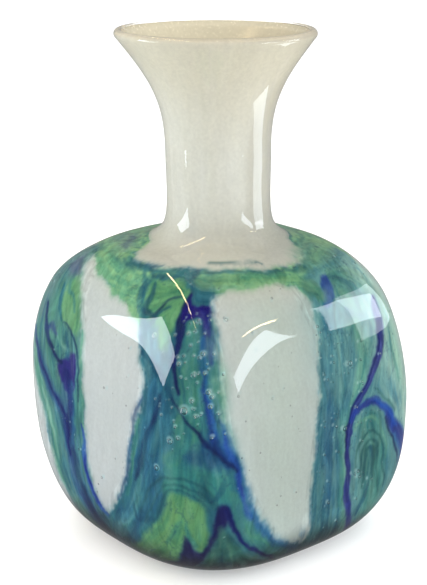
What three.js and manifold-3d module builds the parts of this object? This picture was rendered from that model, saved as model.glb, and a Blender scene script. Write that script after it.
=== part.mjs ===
// Hand-blown, cased art-glass vase: a squared bottle body with a round flared neck.
// The glass is built in the order it was gathered: an opal-white core, coloured sheets and trails laid
// on it, and a clear casing over everything. Millimetres, +Z up, origin at the centre of the ground foot.
import * as THREE from "three";
import { mergeVertices } from "three/addons/utils/BufferGeometryUtils.js";
import Module from "manifold-3d";

const wasm = await Module();
wasm.setup();

// ---- Driving dimensions (mm, degrees) ----
const HEIGHT = 180;
const FOOT_HALF = 33.5; // where the flat foot turns up into the belly
const PUNT_R = 12; // polished hollow in the middle of the foot
const PUNT_DEPTH = 1.5;
const PUNT_BEND = { out: 0.6, up: 0.64 }; // where the hollow bends, as shares of its radius and depth
const BELLY_HALF = 54.5; // half the width across the flats
const BELLY_Z = 53.5;
const SHOULDER_R = 29.5;
const SHOULDER_Z = 106.5;
const SHOULDER_SLOPE = 4.5;
const NECK_R = 18.4;
const NECK_Z = 139;
const LIP_R = 34.6;
const BEAD_R = 1.6; // fire-polished lip
const FLARE = 38; // angle of the flare from upright, at the lip

// How far each Bezier handle pulls, along the profile's tangent at its end.
const FOOT_PULL = 26.5;
const BELLY_PULL_DOWN = 28;
const BELLY_PULL_UP = 23;
const SHOULDER_PULL_OUT = 16;
const SHOULDER_PULL_IN = 14;
const NECK_PULL_DOWN = 20.5;
const NECK_PULL_UP = 17;
const FLARE_PULL = 17;

// Superellipse exponent of the cross-section: 2 is round, and higher is squarer.
const ROUND = 2;
const SQUARE_BELLY = 5.7;
const SQUARE_FOOT = 2.8;
const SQUARE_FADE_START = 18; // below the shoulder, where the square starts to turn round
const SQUARE_FADE_LENGTH = 25;
const CAVITY_SOFTNESS = 0.6; // the blown hollow is rounder than the paddled outside

// Hand-made irregularity, in the vertical plane at LEAN_AZIMUTH.
const LEAN_AZIMUTH = 50;
const BELLY_SKEW = 0.09; // the belly's widest line drops this much per mm outwards
const NECK_LEAN = 1.2;

// Glass thicknesses. Touching layers keep FUSE_GAP, so that they stay separate solids.
const FUSE_GAP = 0.35;
const SHEET = 0.8; // a coloured sheet laid on the core
const TRAIL = 0.8; // a coloured trail or chip laid on the sheets
const LIP_CORE_R = 0.6; // the core's rounded end inside the lip bead

// The clear cover over the core, and the whole wall: [height, thickness].
const COVER = [
  [0, 6],
  [20, 4.6],
  [BELLY_Z, 4.4],
  [95, 4],
  [112, 2.6],
  [125, 1.6],
  [HEIGHT - BEAD_R, BEAD_R - LIP_CORE_R],
];
const WALL = [
  [0, 11.5],
  [20, 9],
  [BELLY_Z, 7.6],
  [95, 7],
  [112, 5],
  [125, 3.8],
  [HEIGHT - BEAD_R, 2 * BEAD_R],
];

// Faceting.
const SEGMENTS = 32;
const SPAN_STEPS = [7, 7, 5, 5]; // rings on each span of the profile, foot to lip
const BEAD_STEPS = 5;
const OUTLINE_POINTS = 26;
const TRAIL_POINTS = 10;
const CONE_POINTS = 32;

// Coloured pieces are drawn as [azimuth, latitude] in degrees, as seen from CENTRE inside the body.
// Azimuth 0 is the middle of the +X flat, and -45 is the front edge between two flats.
const CENTRE = new THREE.Vector3(0, 0, 54);
const NEAR = 8; // a cutter reaches from here...
const FAR = 170; // ...to here, from CENTRE
const LAYER_TOP_Z = 128; // coloured layers stop below this height
const MERGE_DISTANCE = 1e-4; // mm, for vertices that two faces share
const PIECE_GAP = 0.5; // degrees between neighbouring pieces
const POCKET_MARGIN = 0.6; // degrees of room round a piece in the casing

const COLLAR_TOP_LATITUDE = 57;
const COLLAR_LOWER_EDGE = [
  [-135, 46], [-105, 45], [-78, 40], [-45, 46], [-20, 50], [5, 46],
  [30, 45], [60, 47], [95, 48], [125, 44], [155, 46],
];
const FOOT_UPPER_EDGE = [
  [-135, -43], [-90, -40], [-50, -44], [-10, -45], [30, -43], [75, -41], [120, -43], [170, -42],
];

const SWIRLS = {
  front_swirl: [
    [-76, 52], [-72, 36], [-66, 16], [-71, -3], [-75, -22], [-86, -36], [-84, -52], [-45, -52],
    [-8, -52], [-20, -38], [-31, -20], [-38, 0], [-41, 22], [-43, 40], [-41, 52],
  ],
  right_swirl: [
    [2, 52], [4, 30], [1, 10], [-2, -14], [-5, -34], [-4, -52], [48, -52],
    [54, -30], [50, -8], [42, 12], [42, 32], [44, 52],
  ],
  back_swirl: [
    [112, 52], [108, 34], [104, 12], [101, -12], [96, -34], [92, -52], [150, -52],
    [152, -30], [154, -6], [158, 18], [156, 36], [154, 52],
  ],
  left_swirl: [
    [-140, 52], [-137, 30], [-136, 8], [-131, -14], [-124, -34], [-120, -52], [-94, -52],
    [-95, -34], [-101, -16], [-103, 4], [-104, 22], [-112, 36], [-122, 52],
  ],
};

const CHIPS = {
  front_lime_tongue: [
    [-50, -17], [-55, -21], [-58, -29], [-65, -35], [-72, -40], [-64, -40], [-56, -35], [-50, -30], [-47, -23],
  ],
  left_lime_chip: [
    [-122, 38], [-113, 33], [-110, 26], [-115, 22], [-121, 25],
  ],
  front_cobalt_crest: [
    [-50, 42], [-46, 40], [-42, 40], [-43, 34], [-46, 31], [-50, 32], [-53, 26], [-54, 32], [-52, 38],
  ],
  front_cobalt_chevron: [
    [-58, -40], [-50, -35.5], [-45, -29], [-41, -19], [-38, -20], [-34, -29], [-27, -37],
    [-30, -39], [-37, -32], [-39.5, -26], [-43, -32], [-48, -38], [-55, -43],
  ],
  right_cobalt_crest: [
    [22, 43], [17, 43], [14, 39], [15, 34], [18, 38],
  ],
};

// Each point of a trail is [azimuth, latitude, half width in degrees].
const TRAILS = {
  left_cobalt_trail: [
    [-134, 12, 1], [-127, 4, 2], [-119, -4, 3], [-112, -14, 3], [-108, -26, 2.4], [-103, -37, 1.4],
  ],
  left_cobalt_hook: [
    [-130, 22, 0.8], [-125, 14, 1.4], [-118, 10, 2.4], [-111, 9, 3], [-107, 15, 1], [-109, 22, 0.6],
  ],
  front_cobalt_trail: [
    [-45, 28, 1.2], [-43.5, 16, 1.6], [-42, 4, 2], [-38, -6, 2], [-34, -16, 1.2], [-30, -26, 0.7],
  ],
  right_cobalt_trail: [
    [38, 30, 1.4], [36, 18, 1.4], [29, 8, 1.2], [21, 0, 1.2], [16, -9, 1.3], [15, -22, 1.2], [17, -36, 0.9],
  ],
  right_cobalt_arch: [
    [20, -6, 0.6], [24, -2, 1], [30, -1.5, 1.2], [36, -7, 1.4], [42, -15, 1.8], [47, -22, 1.4], [47, -32, 0.8],
  ],
  back_cobalt_trail: [
    [118, 38, 1], [121, 22, 1.6], [129, 8, 2], [133, -8, 1.6], [128, -22, 1.2], [122, -36, 0.8],
  ],
  back_cobalt_arch: [
    [140, 30, 0.8], [146, 18, 1.3], [148, 2, 1.6], [145, -14, 1.2], [141, -30, 0.7],
  ],
};

const GLASS = {
  clear: { color: 0xeef6f4, roughness: 0.04, metalness: 0, transparent: true, opacity: 0.35 },
  opal: { color: 0xdcd8cc, roughness: 0.2, metalness: 0 },
  lime: { color: 0x6fae5a, roughness: 0.15, metalness: 0 },
  teal: { color: 0x3f8a7c, roughness: 0.15, metalness: 0 },
  cobalt: { color: 0x1d2f86, roughness: 0.15, metalness: 0 },
};

// ---- Small helpers ----
const radians = THREE.MathUtils.degToRad;
const ramp = (t) => THREE.MathUtils.smoothstep(t, 0, 1);
const signedPower = (value, power) => Math.sign(value) * Math.abs(value) ** power;

// The value of a [height, value] table at z, in straight lines between its rows.
function lookUp(table, z) {
  const last = table.length - 1;
  if (z <= table[0][0]) return table[0][1];
  if (z >= table[last][0]) return table[last][1];
  const i = table.findIndex(([height]) => height > z);
  const [z0, v0] = table[i - 1];
  const [z1, v1] = table[i];
  return v0 + ((v1 - v0) * (z - z0)) / (z1 - z0);
}

const coverAt = (z) => lookUp(COVER, z);
const wallAt = (z) => lookUp(WALL, z);

// How square the cross-section is at a height of the outer profile.
function squarenessAt(z) {
  const body = THREE.MathUtils.lerp(SQUARE_FOOT, SQUARE_BELLY, ramp(z / BELLY_Z));
  const fade = ramp((z - SHOULDER_Z + SQUARE_FADE_START) / SQUARE_FADE_LENGTH);
  return THREE.MathUtils.lerp(body, ROUND, fade);
}

// ---- The outer profile ----
const flare = radians(FLARE);
const flareAlong = new THREE.Vector2(Math.sin(flare), Math.cos(flare));
const beadCentre = new THREE.Vector2(LIP_R - BEAD_R, HEIGHT - BEAD_R);

function onBead(radius, angle) {
  return new THREE.Vector2(Math.cos(angle), Math.sin(angle)).multiplyScalar(radius).add(beadCentre);
}

// Stations from the foot to the lip bead: a point, its outward normal and its squareness.
function profileStations() {
  const slope = radians(SHOULDER_SLOPE);
  const inwards = new THREE.Vector2(-Math.cos(slope), Math.sin(slope));
  const up = new THREE.Vector2(0, 1);
  const foot = new THREE.Vector2(FOOT_HALF, 0);
  const belly = new THREE.Vector2(BELLY_HALF, BELLY_Z);
  const shoulder = new THREE.Vector2(SHOULDER_R, SHOULDER_Z);
  const neck = new THREE.Vector2(NECK_R, NECK_Z);
  const lip = onBead(BEAD_R, -flare);
  const pulled = (point, along, length) => point.clone().addScaledVector(along, length);
  const spans = [
    [foot, pulled(foot, new THREE.Vector2(1, 0), FOOT_PULL), pulled(belly, up, -BELLY_PULL_DOWN), belly],
    [belly, pulled(belly, up, BELLY_PULL_UP), pulled(shoulder, inwards, -SHOULDER_PULL_OUT), shoulder],
    [shoulder, pulled(shoulder, inwards, SHOULDER_PULL_IN), pulled(neck, up, -NECK_PULL_DOWN), neck],
    [neck, pulled(neck, up, NECK_PULL_UP), pulled(lip, flareAlong, -FLARE_PULL), lip],
  ].map((points) => new THREE.CubicBezierCurve(...points));
  const stations = [];
  spans.forEach((span, index) => {
    for (let step = index ? 1 : 0; step <= SPAN_STEPS[index]; step++) {
      const t = step / SPAN_STEPS[index];
      const point = span.getPoint(t);
      const tangent = span.getTangent(t);
      const normal = new THREE.Vector2(tangent.y, -tangent.x);
      stations.push({ point, normal, square: squarenessAt(point.y) });
    }
  });
  return stations;
}

const stations = profileStations();

// A ring of a spun path: radius, height and squareness.
const ring = (radius, z, square = ROUND) => ({ radius, z, square });

// Rings inside the outer skin, each at the depth that its own height asks for.
function ringsAtDepth(depthAt, softness = 1) {
  return stations.map(({ point, normal, square }) => {
    const inside = point.clone().addScaledVector(normal, -depthAt(point.y));
    return ring(inside.x, inside.y, THREE.MathUtils.lerp(ROUND, square, softness));
  });
}

// Rings round the lip bead, from its outer side over the top to its inner side.
function beadRings(radius, { fromStart }) {
  const rings = [];
  for (let step = fromStart ? 0 : 1; step <= BEAD_STEPS; step++) {
    const point = onBead(radius, -flare + (Math.PI * step) / BEAD_STEPS);
    rings.push(ring(point.x, point.y));
  }
  return rings;
}

// Leans the neck and skews the belly, as the maker's hand did.
function handMade(point) {
  const along = new THREE.Vector2(Math.cos(radians(LEAN_AZIMUTH)), Math.sin(radians(LEAN_AZIMUTH)));
  const outwards = point.x * along.x + point.y * along.y;
  const inBody = point.z > 0 && point.z < SHOULDER_Z;
  const swell = inBody ? Math.sin((Math.PI * point.z) / SHOULDER_Z) : 0;
  const upNeck = THREE.MathUtils.clamp((point.z - SHOULDER_Z) / (HEIGHT - SHOULDER_Z), 0, 1);
  point.z -= swell * BELLY_SKEW * outwards;
  point.x -= NECK_LEAN * upNeck ** 2 * along.x;
  point.y -= NECK_LEAN * upNeck ** 2 * along.y;
  return point;
}

// ---- Solids ----
function geometryOf(positions, indices) {
  return new THREE.BufferGeometry()
    .setAttribute("position", new THREE.Float32BufferAttribute(positions, 3))
    .setIndex(indices);
}

// A closed solid swept round Z. The path starts and ends in a ring of radius 0.
function spun(path) {
  const positions = [];
  for (const { radius, z, square } of path) {
    const count = radius === 0 ? 1 : SEGMENTS;
    for (let j = 0; j < count; j++) {
      const angle = (2 * Math.PI * j) / SEGMENTS;
      const x = radius * signedPower(Math.cos(angle), 2 / square);
      const y = radius * signedPower(Math.sin(angle), 2 / square);
      positions.push(...handMade(new THREE.Vector3(x, y, z)).toArray());
    }
  }
  const indices = [];
  const firstRing = 1;
  const lastRing = path.length - 2;
  const vertex = (i, j) => firstRing + (i - 1) * SEGMENTS + (j % SEGMENTS);
  const lastPole = vertex(lastRing, 0) + SEGMENTS;
  for (let j = 0; j < SEGMENTS; j++) {
    indices.push(0, vertex(1, j + 1), vertex(1, j));
    for (let i = 1; i < lastRing; i++) {
      indices.push(vertex(i, j), vertex(i, j + 1), vertex(i + 1, j + 1));
      indices.push(vertex(i, j), vertex(i + 1, j + 1), vertex(i + 1, j));
    }
    indices.push(vertex(lastRing, j), vertex(lastRing, j + 1), lastPole);
  }
  return solidOf(geometryOf(positions, indices));
}

function solidOf(geometry) {
  const bare = geometry.clone();
  for (const name of Object.keys(bare.attributes)) {
    if (name !== "position") bare.deleteAttribute(name);
  }
  const merged = mergeVertices(bare, MERGE_DISTANCE);
  return new wasm.Manifold(
    new wasm.Mesh({
      numProp: 3,
      vertProperties: merged.attributes.position.array,
      triVerts: new Uint32Array(merged.index.array),
    }),
  );
}

function geometryOfSolid(solid) {
  const mesh = solid.getMesh();
  const positions = [];
  for (let i = 0; i < mesh.numVert; i++) {
    const start = i * mesh.numProp;
    positions.push(...mesh.vertProperties.subarray(start, start + 3));
  }
  return geometryOf(positions, Array.from(mesh.triVerts)).toNonIndexed();
}

// The body up to LAYER_TOP_Z, its skin lifted this far off the core.
function liftedBody(lift) {
  const low = ringsAtDepth((z) => coverAt(z) - lift).filter(({ z }) => z < LAYER_TOP_Z);
  const top = low[low.length - 1].z;
  return spun([ring(0, low[0].z), ...low, ring(0, top)]);
}

function layer(from, to) {
  return liftedBody(to).subtract(liftedBody(from));
}

// ---- Cutters, drawn in azimuth and latitude ----
function seenFromCentre([azimuth, latitude], distance) {
  const a = radians(azimuth);
  const l = radians(latitude);
  return new THREE.Vector3(Math.cos(l) * Math.cos(a), Math.cos(l) * Math.sin(a), Math.sin(l))
    .multiplyScalar(distance)
    .add(CENTRE);
}

const anticlockwise = (outline) => (THREE.ShapeUtils.area(outline) > 0 ? outline : outline.toReversed());

// A smooth closed outline through hand-set corners.
function smoothOutline(corners) {
  const points = corners.map(([azimuth, latitude]) => new THREE.Vector3(azimuth, latitude, 0));
  const curve = new THREE.CatmullRomCurve3(points, true, "centripetal");
  const spaced = curve.getSpacedPoints(OUTLINE_POINTS).slice(0, -1);
  return anticlockwise(spaced.map(({ x, y }) => new THREE.Vector2(x, y)));
}

// The outline of a trail whose half width changes along its path, with a margin added all round.
function trailOutline(points, margin = 0) {
  const curve = new THREE.CatmullRomCurve3(points.map((p) => new THREE.Vector3(...p)), false, "centripetal");
  const samples = curve.getPoints(TRAIL_POINTS);
  const sides = samples.map((sample, i) => {
    const before = samples[Math.max(i - 1, 0)];
    const after = samples[Math.min(i + 1, samples.length - 1)];
    const widen = 1 / Math.cos(radians(sample.y)); // a degree of azimuth is shorter away from latitude 0
    const along = new THREE.Vector2((after.x - before.x) / widen, after.y - before.y).normalize();
    const across = new THREE.Vector2(-along.y * widen, along.x).multiplyScalar(sample.z + margin);
    const end = i === 0 ? -1 : Number(i === samples.length - 1);
    const beyond = new THREE.Vector2(along.x * widen, along.y).multiplyScalar(end * margin);
    const middle = new THREE.Vector2(sample.x, sample.y).add(beyond);
    return [middle.clone().add(across), middle.clone().sub(across)];
  });
  return anticlockwise([...sides.map(([left]) => left), ...sides.map(([, right]) => right).reverse()]);
}

// The outline moved outwards by a margin in degrees.
function widened(outline, margin) {
  return outline.map((point, i) => {
    const before = outline[(i + outline.length - 1) % outline.length];
    const after = outline[(i + 1) % outline.length];
    const along = after.clone().sub(before).normalize();
    return new THREE.Vector2(point.x + margin * along.y, point.y - margin * along.x);
  });
}

// A prism of rays from CENTRE through an outline.
function rayPrism(outline) {
  const count = outline.length;
  const corners = outline.map(({ x, y }) => [x, y]);
  const points = [NEAR, FAR].flatMap((distance) => corners.map((corner) => seenFromCentre(corner, distance)));
  const caps = THREE.ShapeUtils.triangulateShape(outline, []);
  const indices = caps.flatMap(([a, b, c]) => [c, b, a, a + count, b + count, c + count]);
  for (let i = 0; i < count; i++) {
    const next = (i + 1) % count;
    indices.push(i, next, next + count, i, next + count, i + count);
  }
  return solidOf(geometryOf(points.flatMap((p) => p.toArray()), indices));
}

// All that CENTRE sees above a wavy edge of latitude, given as [azimuth, latitude] round the body.
function coneAbove(edge, shift = 0) {
  const around = [];
  for (let i = 0; i < CONE_POINTS; i++) {
    const azimuth = (360 * i) / CONE_POINTS - 180;
    around.push(seenFromCentre([azimuth, latitudeOnEdge(edge, azimuth) + shift], FAR));
  }
  const points = [CENTRE, ...around, new THREE.Vector3(0, 0, CENTRE.z + 2 * FAR)];
  const indices = [];
  for (let i = 0; i < CONE_POINTS; i++) {
    const here = 1 + i;
    const next = 1 + ((i + 1) % CONE_POINTS);
    indices.push(0, next, here, points.length - 1, here, next);
  }
  return solidOf(geometryOf(points.flatMap((p) => p.toArray()), indices));
}

function latitudeOnEdge(edge, azimuth) {
  const i = edge.findIndex(([a]) => a > azimuth);
  const [a1, l1] = i < 0 ? [edge[0][0] + 360, edge[0][1]] : edge[i];
  const last = edge[edge.length - 1];
  const [a0, l0] = i === 0 ? [last[0] - 360, last[1]] : edge[i < 0 ? edge.length - 1 : i - 1];
  return THREE.MathUtils.lerp(l0, l1, ramp((azimuth - a0) / (a1 - a0)));
}

// ---- The glass ----
const coverRings = ringsAtDepth(coverAt);

function opalCore() {
  const cavity = ringsAtDepth(wallAt, CAVITY_SOFTNESS);
  cavity.pop(); // the rabbet below takes the place of the ring at the bead
  const inwards = onBead(1, Math.PI - flare).sub(beadCentre);
  const onRabbet = (radius) => {
    const point = beadCentre.clone().addScaledVector(inwards, radius).addScaledVector(flareAlong, -FUSE_GAP);
    return ring(point.x, point.y);
  };
  return spun([
    ring(0, coverAt(0)),
    ...coverRings,
    ...beadRings(LIP_CORE_R, { fromStart: false }),
    onRabbet(LIP_CORE_R),
    onRabbet(BEAD_R),
    ...cavity.reverse(),
    ring(0, wallAt(0)),
  ]);
}

function blankCasing() {
  const outside = ringsAtDepth(() => 0);
  const inside = ringsAtDepth((z) => coverAt(z) - FUSE_GAP);
  const punt = [
    ring(0, PUNT_DEPTH),
    ring(PUNT_BEND.out * PUNT_R, PUNT_BEND.up * PUNT_DEPTH),
    ring(PUNT_R, 0),
  ];
  inside.pop(); // the bead's own rings reach it
  return spun([
    ...punt,
    ...outside,
    ...beadRings(BEAD_R, { fromStart: false }),
    ...beadRings(LIP_CORE_R + FUSE_GAP, { fromStart: true }).reverse(),
    ...inside.reverse(),
    ring(0, coverAt(0) - FUSE_GAP),
  ]);
}

// The levels of the layers, as heights above the core's skin.
const sheetTop = FUSE_GAP + SHEET;
const trailBottom = sheetTop + FUSE_GAP;
const trailTop = trailBottom + TRAIL;
const sheetLayer = layer(FUSE_GAP, sheetTop);
const trailLayer = layer(trailBottom, trailTop);
const sheetPocket = layer(0, sheetTop + FUSE_GAP);
const trailPocket = layer(0, trailTop + FUSE_GAP);

const pieces = []; // each { name, glass, solid, pocket }

function addSheets() {
  const evenTop = [[-180, COLLAR_TOP_LATITUDE]];
  const collar = (grow) => coneAbove(COLLAR_LOWER_EDGE, -grow).subtract(coneAbove(evenTop, grow));
  pieces.push({
    name: "shoulder_collar",
    glass: "lime",
    solid: sheetLayer.intersect(collar(0)),
    pocket: sheetPocket.intersect(collar(POCKET_MARGIN)),
  });
  pieces.push({
    name: "foot_swirl",
    glass: "teal",
    solid: sheetLayer.subtract(coneAbove(FOOT_UPPER_EDGE)),
    pocket: sheetPocket.subtract(coneAbove(FOOT_UPPER_EDGE, POCKET_MARGIN)),
  });
  const side = (gap) =>
    coneAbove(FOOT_UPPER_EDGE, gap).subtract(coneAbove(COLLAR_LOWER_EDGE, -gap));
  for (const [name, corners] of Object.entries(SWIRLS)) {
    const outline = smoothOutline(corners);
    pieces.push({
      name,
      glass: "teal",
      solid: sheetLayer.intersect(rayPrism(outline)).intersect(side(PIECE_GAP)),
      pocket: sheetPocket.intersect(rayPrism(widened(outline, POCKET_MARGIN))).intersect(side(0)),
    });
  }
}

function addOverlay(name, glass, outline, roomy) {
  pieces.push({
    name,
    glass,
    solid: trailLayer.intersect(rayPrism(outline)),
    pocket: trailPocket.intersect(rayPrism(roomy)),
  });
}

function addOverlays() {
  for (const [name, corners] of Object.entries(CHIPS)) {
    const outline = smoothOutline(corners);
    addOverlay(name, name.includes("lime") ? "lime" : "cobalt", outline, widened(outline, POCKET_MARGIN));
  }
  for (const [name, points] of Object.entries(TRAILS)) {
    addOverlay(name, "cobalt", trailOutline(points), trailOutline(points, POCKET_MARGIN));
  }
}

addSheets();
addOverlays();

function meshOf(name, glass, solid) {
  const mesh = new THREE.Mesh(geometryOfSolid(solid), new THREE.MeshStandardMaterial(GLASS[glass]));
  mesh.name = name;
  return mesh;
}

const vase = new THREE.Group();
vase.name = "vase";
vase.add(meshOf("opal_core", "opal", opalCore()));
for (const { name, glass, solid } of pieces) vase.add(meshOf(name, glass, solid));
const casing = pieces.reduce((whole, { pocket }) => whole.subtract(pocket), blankCasing());
vase.add(meshOf("clear_casing", "clear", casing));

export default vase;
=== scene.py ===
"""The looks of a hand-blown, cased art-glass vase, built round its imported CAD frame.

The glass has the layers of the real one. An opal core is painted with its colour at every vertex, thin
sheets and trails of coloured glass swell out of it, and a clear casing with seed bubbles covers it all.
Lengths are millimetres until a mesh is made. Directions on the body are (azimuth, latitude) in degrees,
seen from the axis at CENTRE_Z: azimuth 0 is the middle of the +X flat, and -45 is the edge that faces
the camera.
"""

import math

import bpy
import numpy as np
from mathutils import Matrix, Vector


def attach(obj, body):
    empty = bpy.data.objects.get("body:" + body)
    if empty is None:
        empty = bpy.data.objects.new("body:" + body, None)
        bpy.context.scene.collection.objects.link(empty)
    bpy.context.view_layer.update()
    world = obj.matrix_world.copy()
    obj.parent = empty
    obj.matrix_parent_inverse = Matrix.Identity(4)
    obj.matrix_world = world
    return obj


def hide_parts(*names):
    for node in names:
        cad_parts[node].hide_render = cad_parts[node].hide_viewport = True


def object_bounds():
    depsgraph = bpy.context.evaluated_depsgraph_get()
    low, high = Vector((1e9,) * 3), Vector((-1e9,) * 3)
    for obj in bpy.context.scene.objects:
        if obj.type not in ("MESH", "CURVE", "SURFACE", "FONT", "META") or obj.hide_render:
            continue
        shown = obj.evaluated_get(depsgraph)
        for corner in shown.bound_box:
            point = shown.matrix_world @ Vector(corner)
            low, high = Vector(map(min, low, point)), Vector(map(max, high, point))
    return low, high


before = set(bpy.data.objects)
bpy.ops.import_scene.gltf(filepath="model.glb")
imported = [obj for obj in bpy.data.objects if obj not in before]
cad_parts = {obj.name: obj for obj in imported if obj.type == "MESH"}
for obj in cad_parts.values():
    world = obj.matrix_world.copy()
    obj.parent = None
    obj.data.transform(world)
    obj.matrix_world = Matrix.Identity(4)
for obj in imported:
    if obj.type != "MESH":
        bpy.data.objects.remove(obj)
cad_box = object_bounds()

# ---- Shape, as in the CAD source ----
HEIGHT = 180.0
MM = (cad_box[1].z - cad_box[0].z) / HEIGHT  # one millimetre of the shape, in the frame's metres
FOOT_HALF, PUNT_R, PUNT_DEPTH = 33.5, 12.0, 1.5
BELLY_HALF, BELLY_Z = 54.5, 53.5
SHOULDER_R, SHOULDER_Z, SHOULDER_SLOPE = 29.5, 106.5, 4.5
NECK_R, NECK_Z = 18.4, 139.0
LIP_R, BEAD_R, FLARE = 34.6, 1.6, math.radians(38)
FOOT_PULL, BELLY_PULL_DOWN, BELLY_PULL_UP = 26.5, 28.0, 23.0
SHOULDER_PULL_OUT, SHOULDER_PULL_IN = 16.0, 14.0
NECK_PULL_DOWN, NECK_PULL_UP, FLARE_PULL = 20.5, 17.0, 17.0
SQUARE_BELLY, SQUARE_FOOT = 5.7, 2.8
SQUARE_FADE_START, SQUARE_FADE_LENGTH, CAVITY_SOFTNESS = 18.0, 25.0, 0.6
LEAN_AZIMUTH, BELLY_SKEW, NECK_LEAN = math.radians(50), 0.09, 1.2
LIP_CORE_R = 0.6  # the core's rounded end inside the lip bead
# Glass by height, as (z, thickness): clear glass over the core, then the whole wall.
COVER = [(0, 6.0), (20, 4.6), (BELLY_Z, 4.4), (95, 4.0), (112, 2.6), (125, 1.6), (178.4, 1.0)]
WALL = [(0, 11.5), (20, 9.0), (BELLY_Z, 7.6), (95, 7.0), (112, 5.0), (125, 3.8), (178.4, 3.2)]
CENTRE_Z = 54.0

# ---- How the layers meet, mm ----
EMBEDDED = 0.2  # the casing's inner skin lies this far inside the core
LINING_INSET = 0.03  # the core's wall lies just inside the casing where they meet in the lip
SHEET, TRAIL = 0.18, 0.34  # the swell of a sheet and of a trail, from its edge to its crest
SINK, ROOT = 0.06, 0.45  # its edge and its underside lie this far under the core's skin

# ---- Glass colours, sRGB 0 to 255 ----
OPAL = (207, 212, 211)
CREAM = (228, 228, 219)
# the skirt's cream, darkened as painted shade round the foot of the neck
SHADED_SKIRT = (208, 209, 201)
FLARE_CREAM = (226, 221, 204)
LINING = (196, 190, 168)
TEAL = (46, 108, 126)
DEEP_TEAL = (32, 84, 110)
BLUE_TEAL = (44, 106, 142)
PALE_TEAL = (112, 174, 180)
SEA = (62, 138, 128)
GREEN = (82, 152, 120)
LIME = (106, 168, 114)
PALE_GREEN = (148, 196, 172)
COBALT = (22, 42, 146)
BRIGHT_BLUE = (36, 86, 186)
NAVY = (16, 24, 92)
INK = (14, 32, 78)
COLLAR_GREEN, COLLAR_LIME = (112, 172, 134), (142, 193, 142)


def ramp(t):
    t = np.clip(t, 0.0, 1.0)
    return t * t * (3 - 2 * t)


def mixed(first, second, share):
    """The first colour where the share is 0, the second where it is 1."""
    return np.asarray(first, float) * (1 - share) + np.asarray(second, float) * share


def by_height(table, z):
    return np.interp(z, [row[0] for row in table], [row[1] for row in table])


# ---- The profile and the surfaces spun from it ----
def bezier(p0, p1, p2, p3, count):
    """Points and unit tangents along one span."""
    t = np.linspace(0, 1, count)[:, None]
    p0, p1, p2, p3 = (np.asarray(p, float) for p in (p0, p1, p2, p3))
    points = (1 - t) ** 3 * p0 + 3 * t * (1 - t) ** 2 * p1 + 3 * t * t * (1 - t) * p2 + t**3 * p3
    tangents = 3 * (1 - t) ** 2 * (p1 - p0) + 6 * t * (1 - t) * (p2 - p1) + 3 * t * t * (p3 - p2)
    return points, tangents / np.linalg.norm(tangents, axis=1)[:, None]


def profile(counts):
    """The outer profile from foot to lip bead: points (r, z) and outward normals."""
    slope = math.radians(SHOULDER_SLOPE)
    inwards = np.array([-math.cos(slope), math.sin(slope)])
    flaring = np.array([math.sin(FLARE), math.cos(FLARE)])
    foot = np.array([FOOT_HALF, 0.0])
    belly = np.array([BELLY_HALF, BELLY_Z])
    shoulder = np.array([SHOULDER_R, SHOULDER_Z])
    neck = np.array([NECK_R, NECK_Z])
    lip = on_bead(BEAD_R, -FLARE)
    up = np.array([0.0, 1.0])
    spans = [
        (foot, foot + [FOOT_PULL, 0], belly - BELLY_PULL_DOWN * up, belly),
        (belly, belly + BELLY_PULL_UP * up, shoulder - SHOULDER_PULL_OUT * inwards, shoulder),
        (shoulder, shoulder + SHOULDER_PULL_IN * inwards, neck - NECK_PULL_DOWN * up, neck),
        (neck, neck + NECK_PULL_UP * up, lip - FLARE_PULL * flaring, lip),
    ]
    points, tangents = [], []
    for index, (span, count) in enumerate(zip(spans, counts)):
        p, t = bezier(*span, count + 1)
        start = 1 if index else 0
        points.append(p[start:])
        tangents.append(t[start:])
    points, tangents = np.vstack(points), np.vstack(tangents)
    return points, np.stack([tangents[:, 1], -tangents[:, 0]], 1)


def on_bead(radius, angle):
    centre = np.array([LIP_R - BEAD_R, HEIGHT - BEAD_R])
    return centre + radius * np.array([math.cos(angle), math.sin(angle)])


def squareness(z):
    body = SQUARE_FOOT + (SQUARE_BELLY - SQUARE_FOOT) * ramp(z / BELLY_Z)
    return body + (2 - body) * ramp((z - SHOULDER_Z + SQUARE_FADE_START) / SQUARE_FADE_LENGTH)


def hand_made(x, y, z):
    """The belly's skew and the neck's lean."""
    along_x, along_y = math.cos(LEAN_AZIMUTH), math.sin(LEAN_AZIMUTH)
    swell = np.where((z > 0) & (z < SHOULDER_Z), np.sin(np.pi * np.clip(z / SHOULDER_Z, 0, 1)), 0)
    lean = NECK_LEAN * np.clip((z - SHOULDER_Z) / (HEIGHT - SHOULDER_Z), 0, 1) ** 2
    dropped = z - swell * BELLY_SKEW * (x * along_x + y * along_y)
    return np.stack([x - lean * along_x, y - lean * along_y, dropped], -1)


def spun(radius, z, square, azimuth):
    """Points at these azimuths on a squared ring."""
    c, s = np.abs(np.cos(azimuth)), np.abs(np.sin(azimuth))
    reach = radius / (c**square + s**square) ** (1 / square)
    return hand_made(reach * np.cos(azimuth), reach * np.sin(azimuth), z)


def directions(points):
    """(azimuth, latitude) in degrees of points in mm."""
    x, y, z = points[..., 0], points[..., 1], points[..., 2] - CENTRE_Z
    return np.degrees(np.arctan2(y, x)), np.degrees(np.arctan2(z, np.hypot(x, y)))


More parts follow.
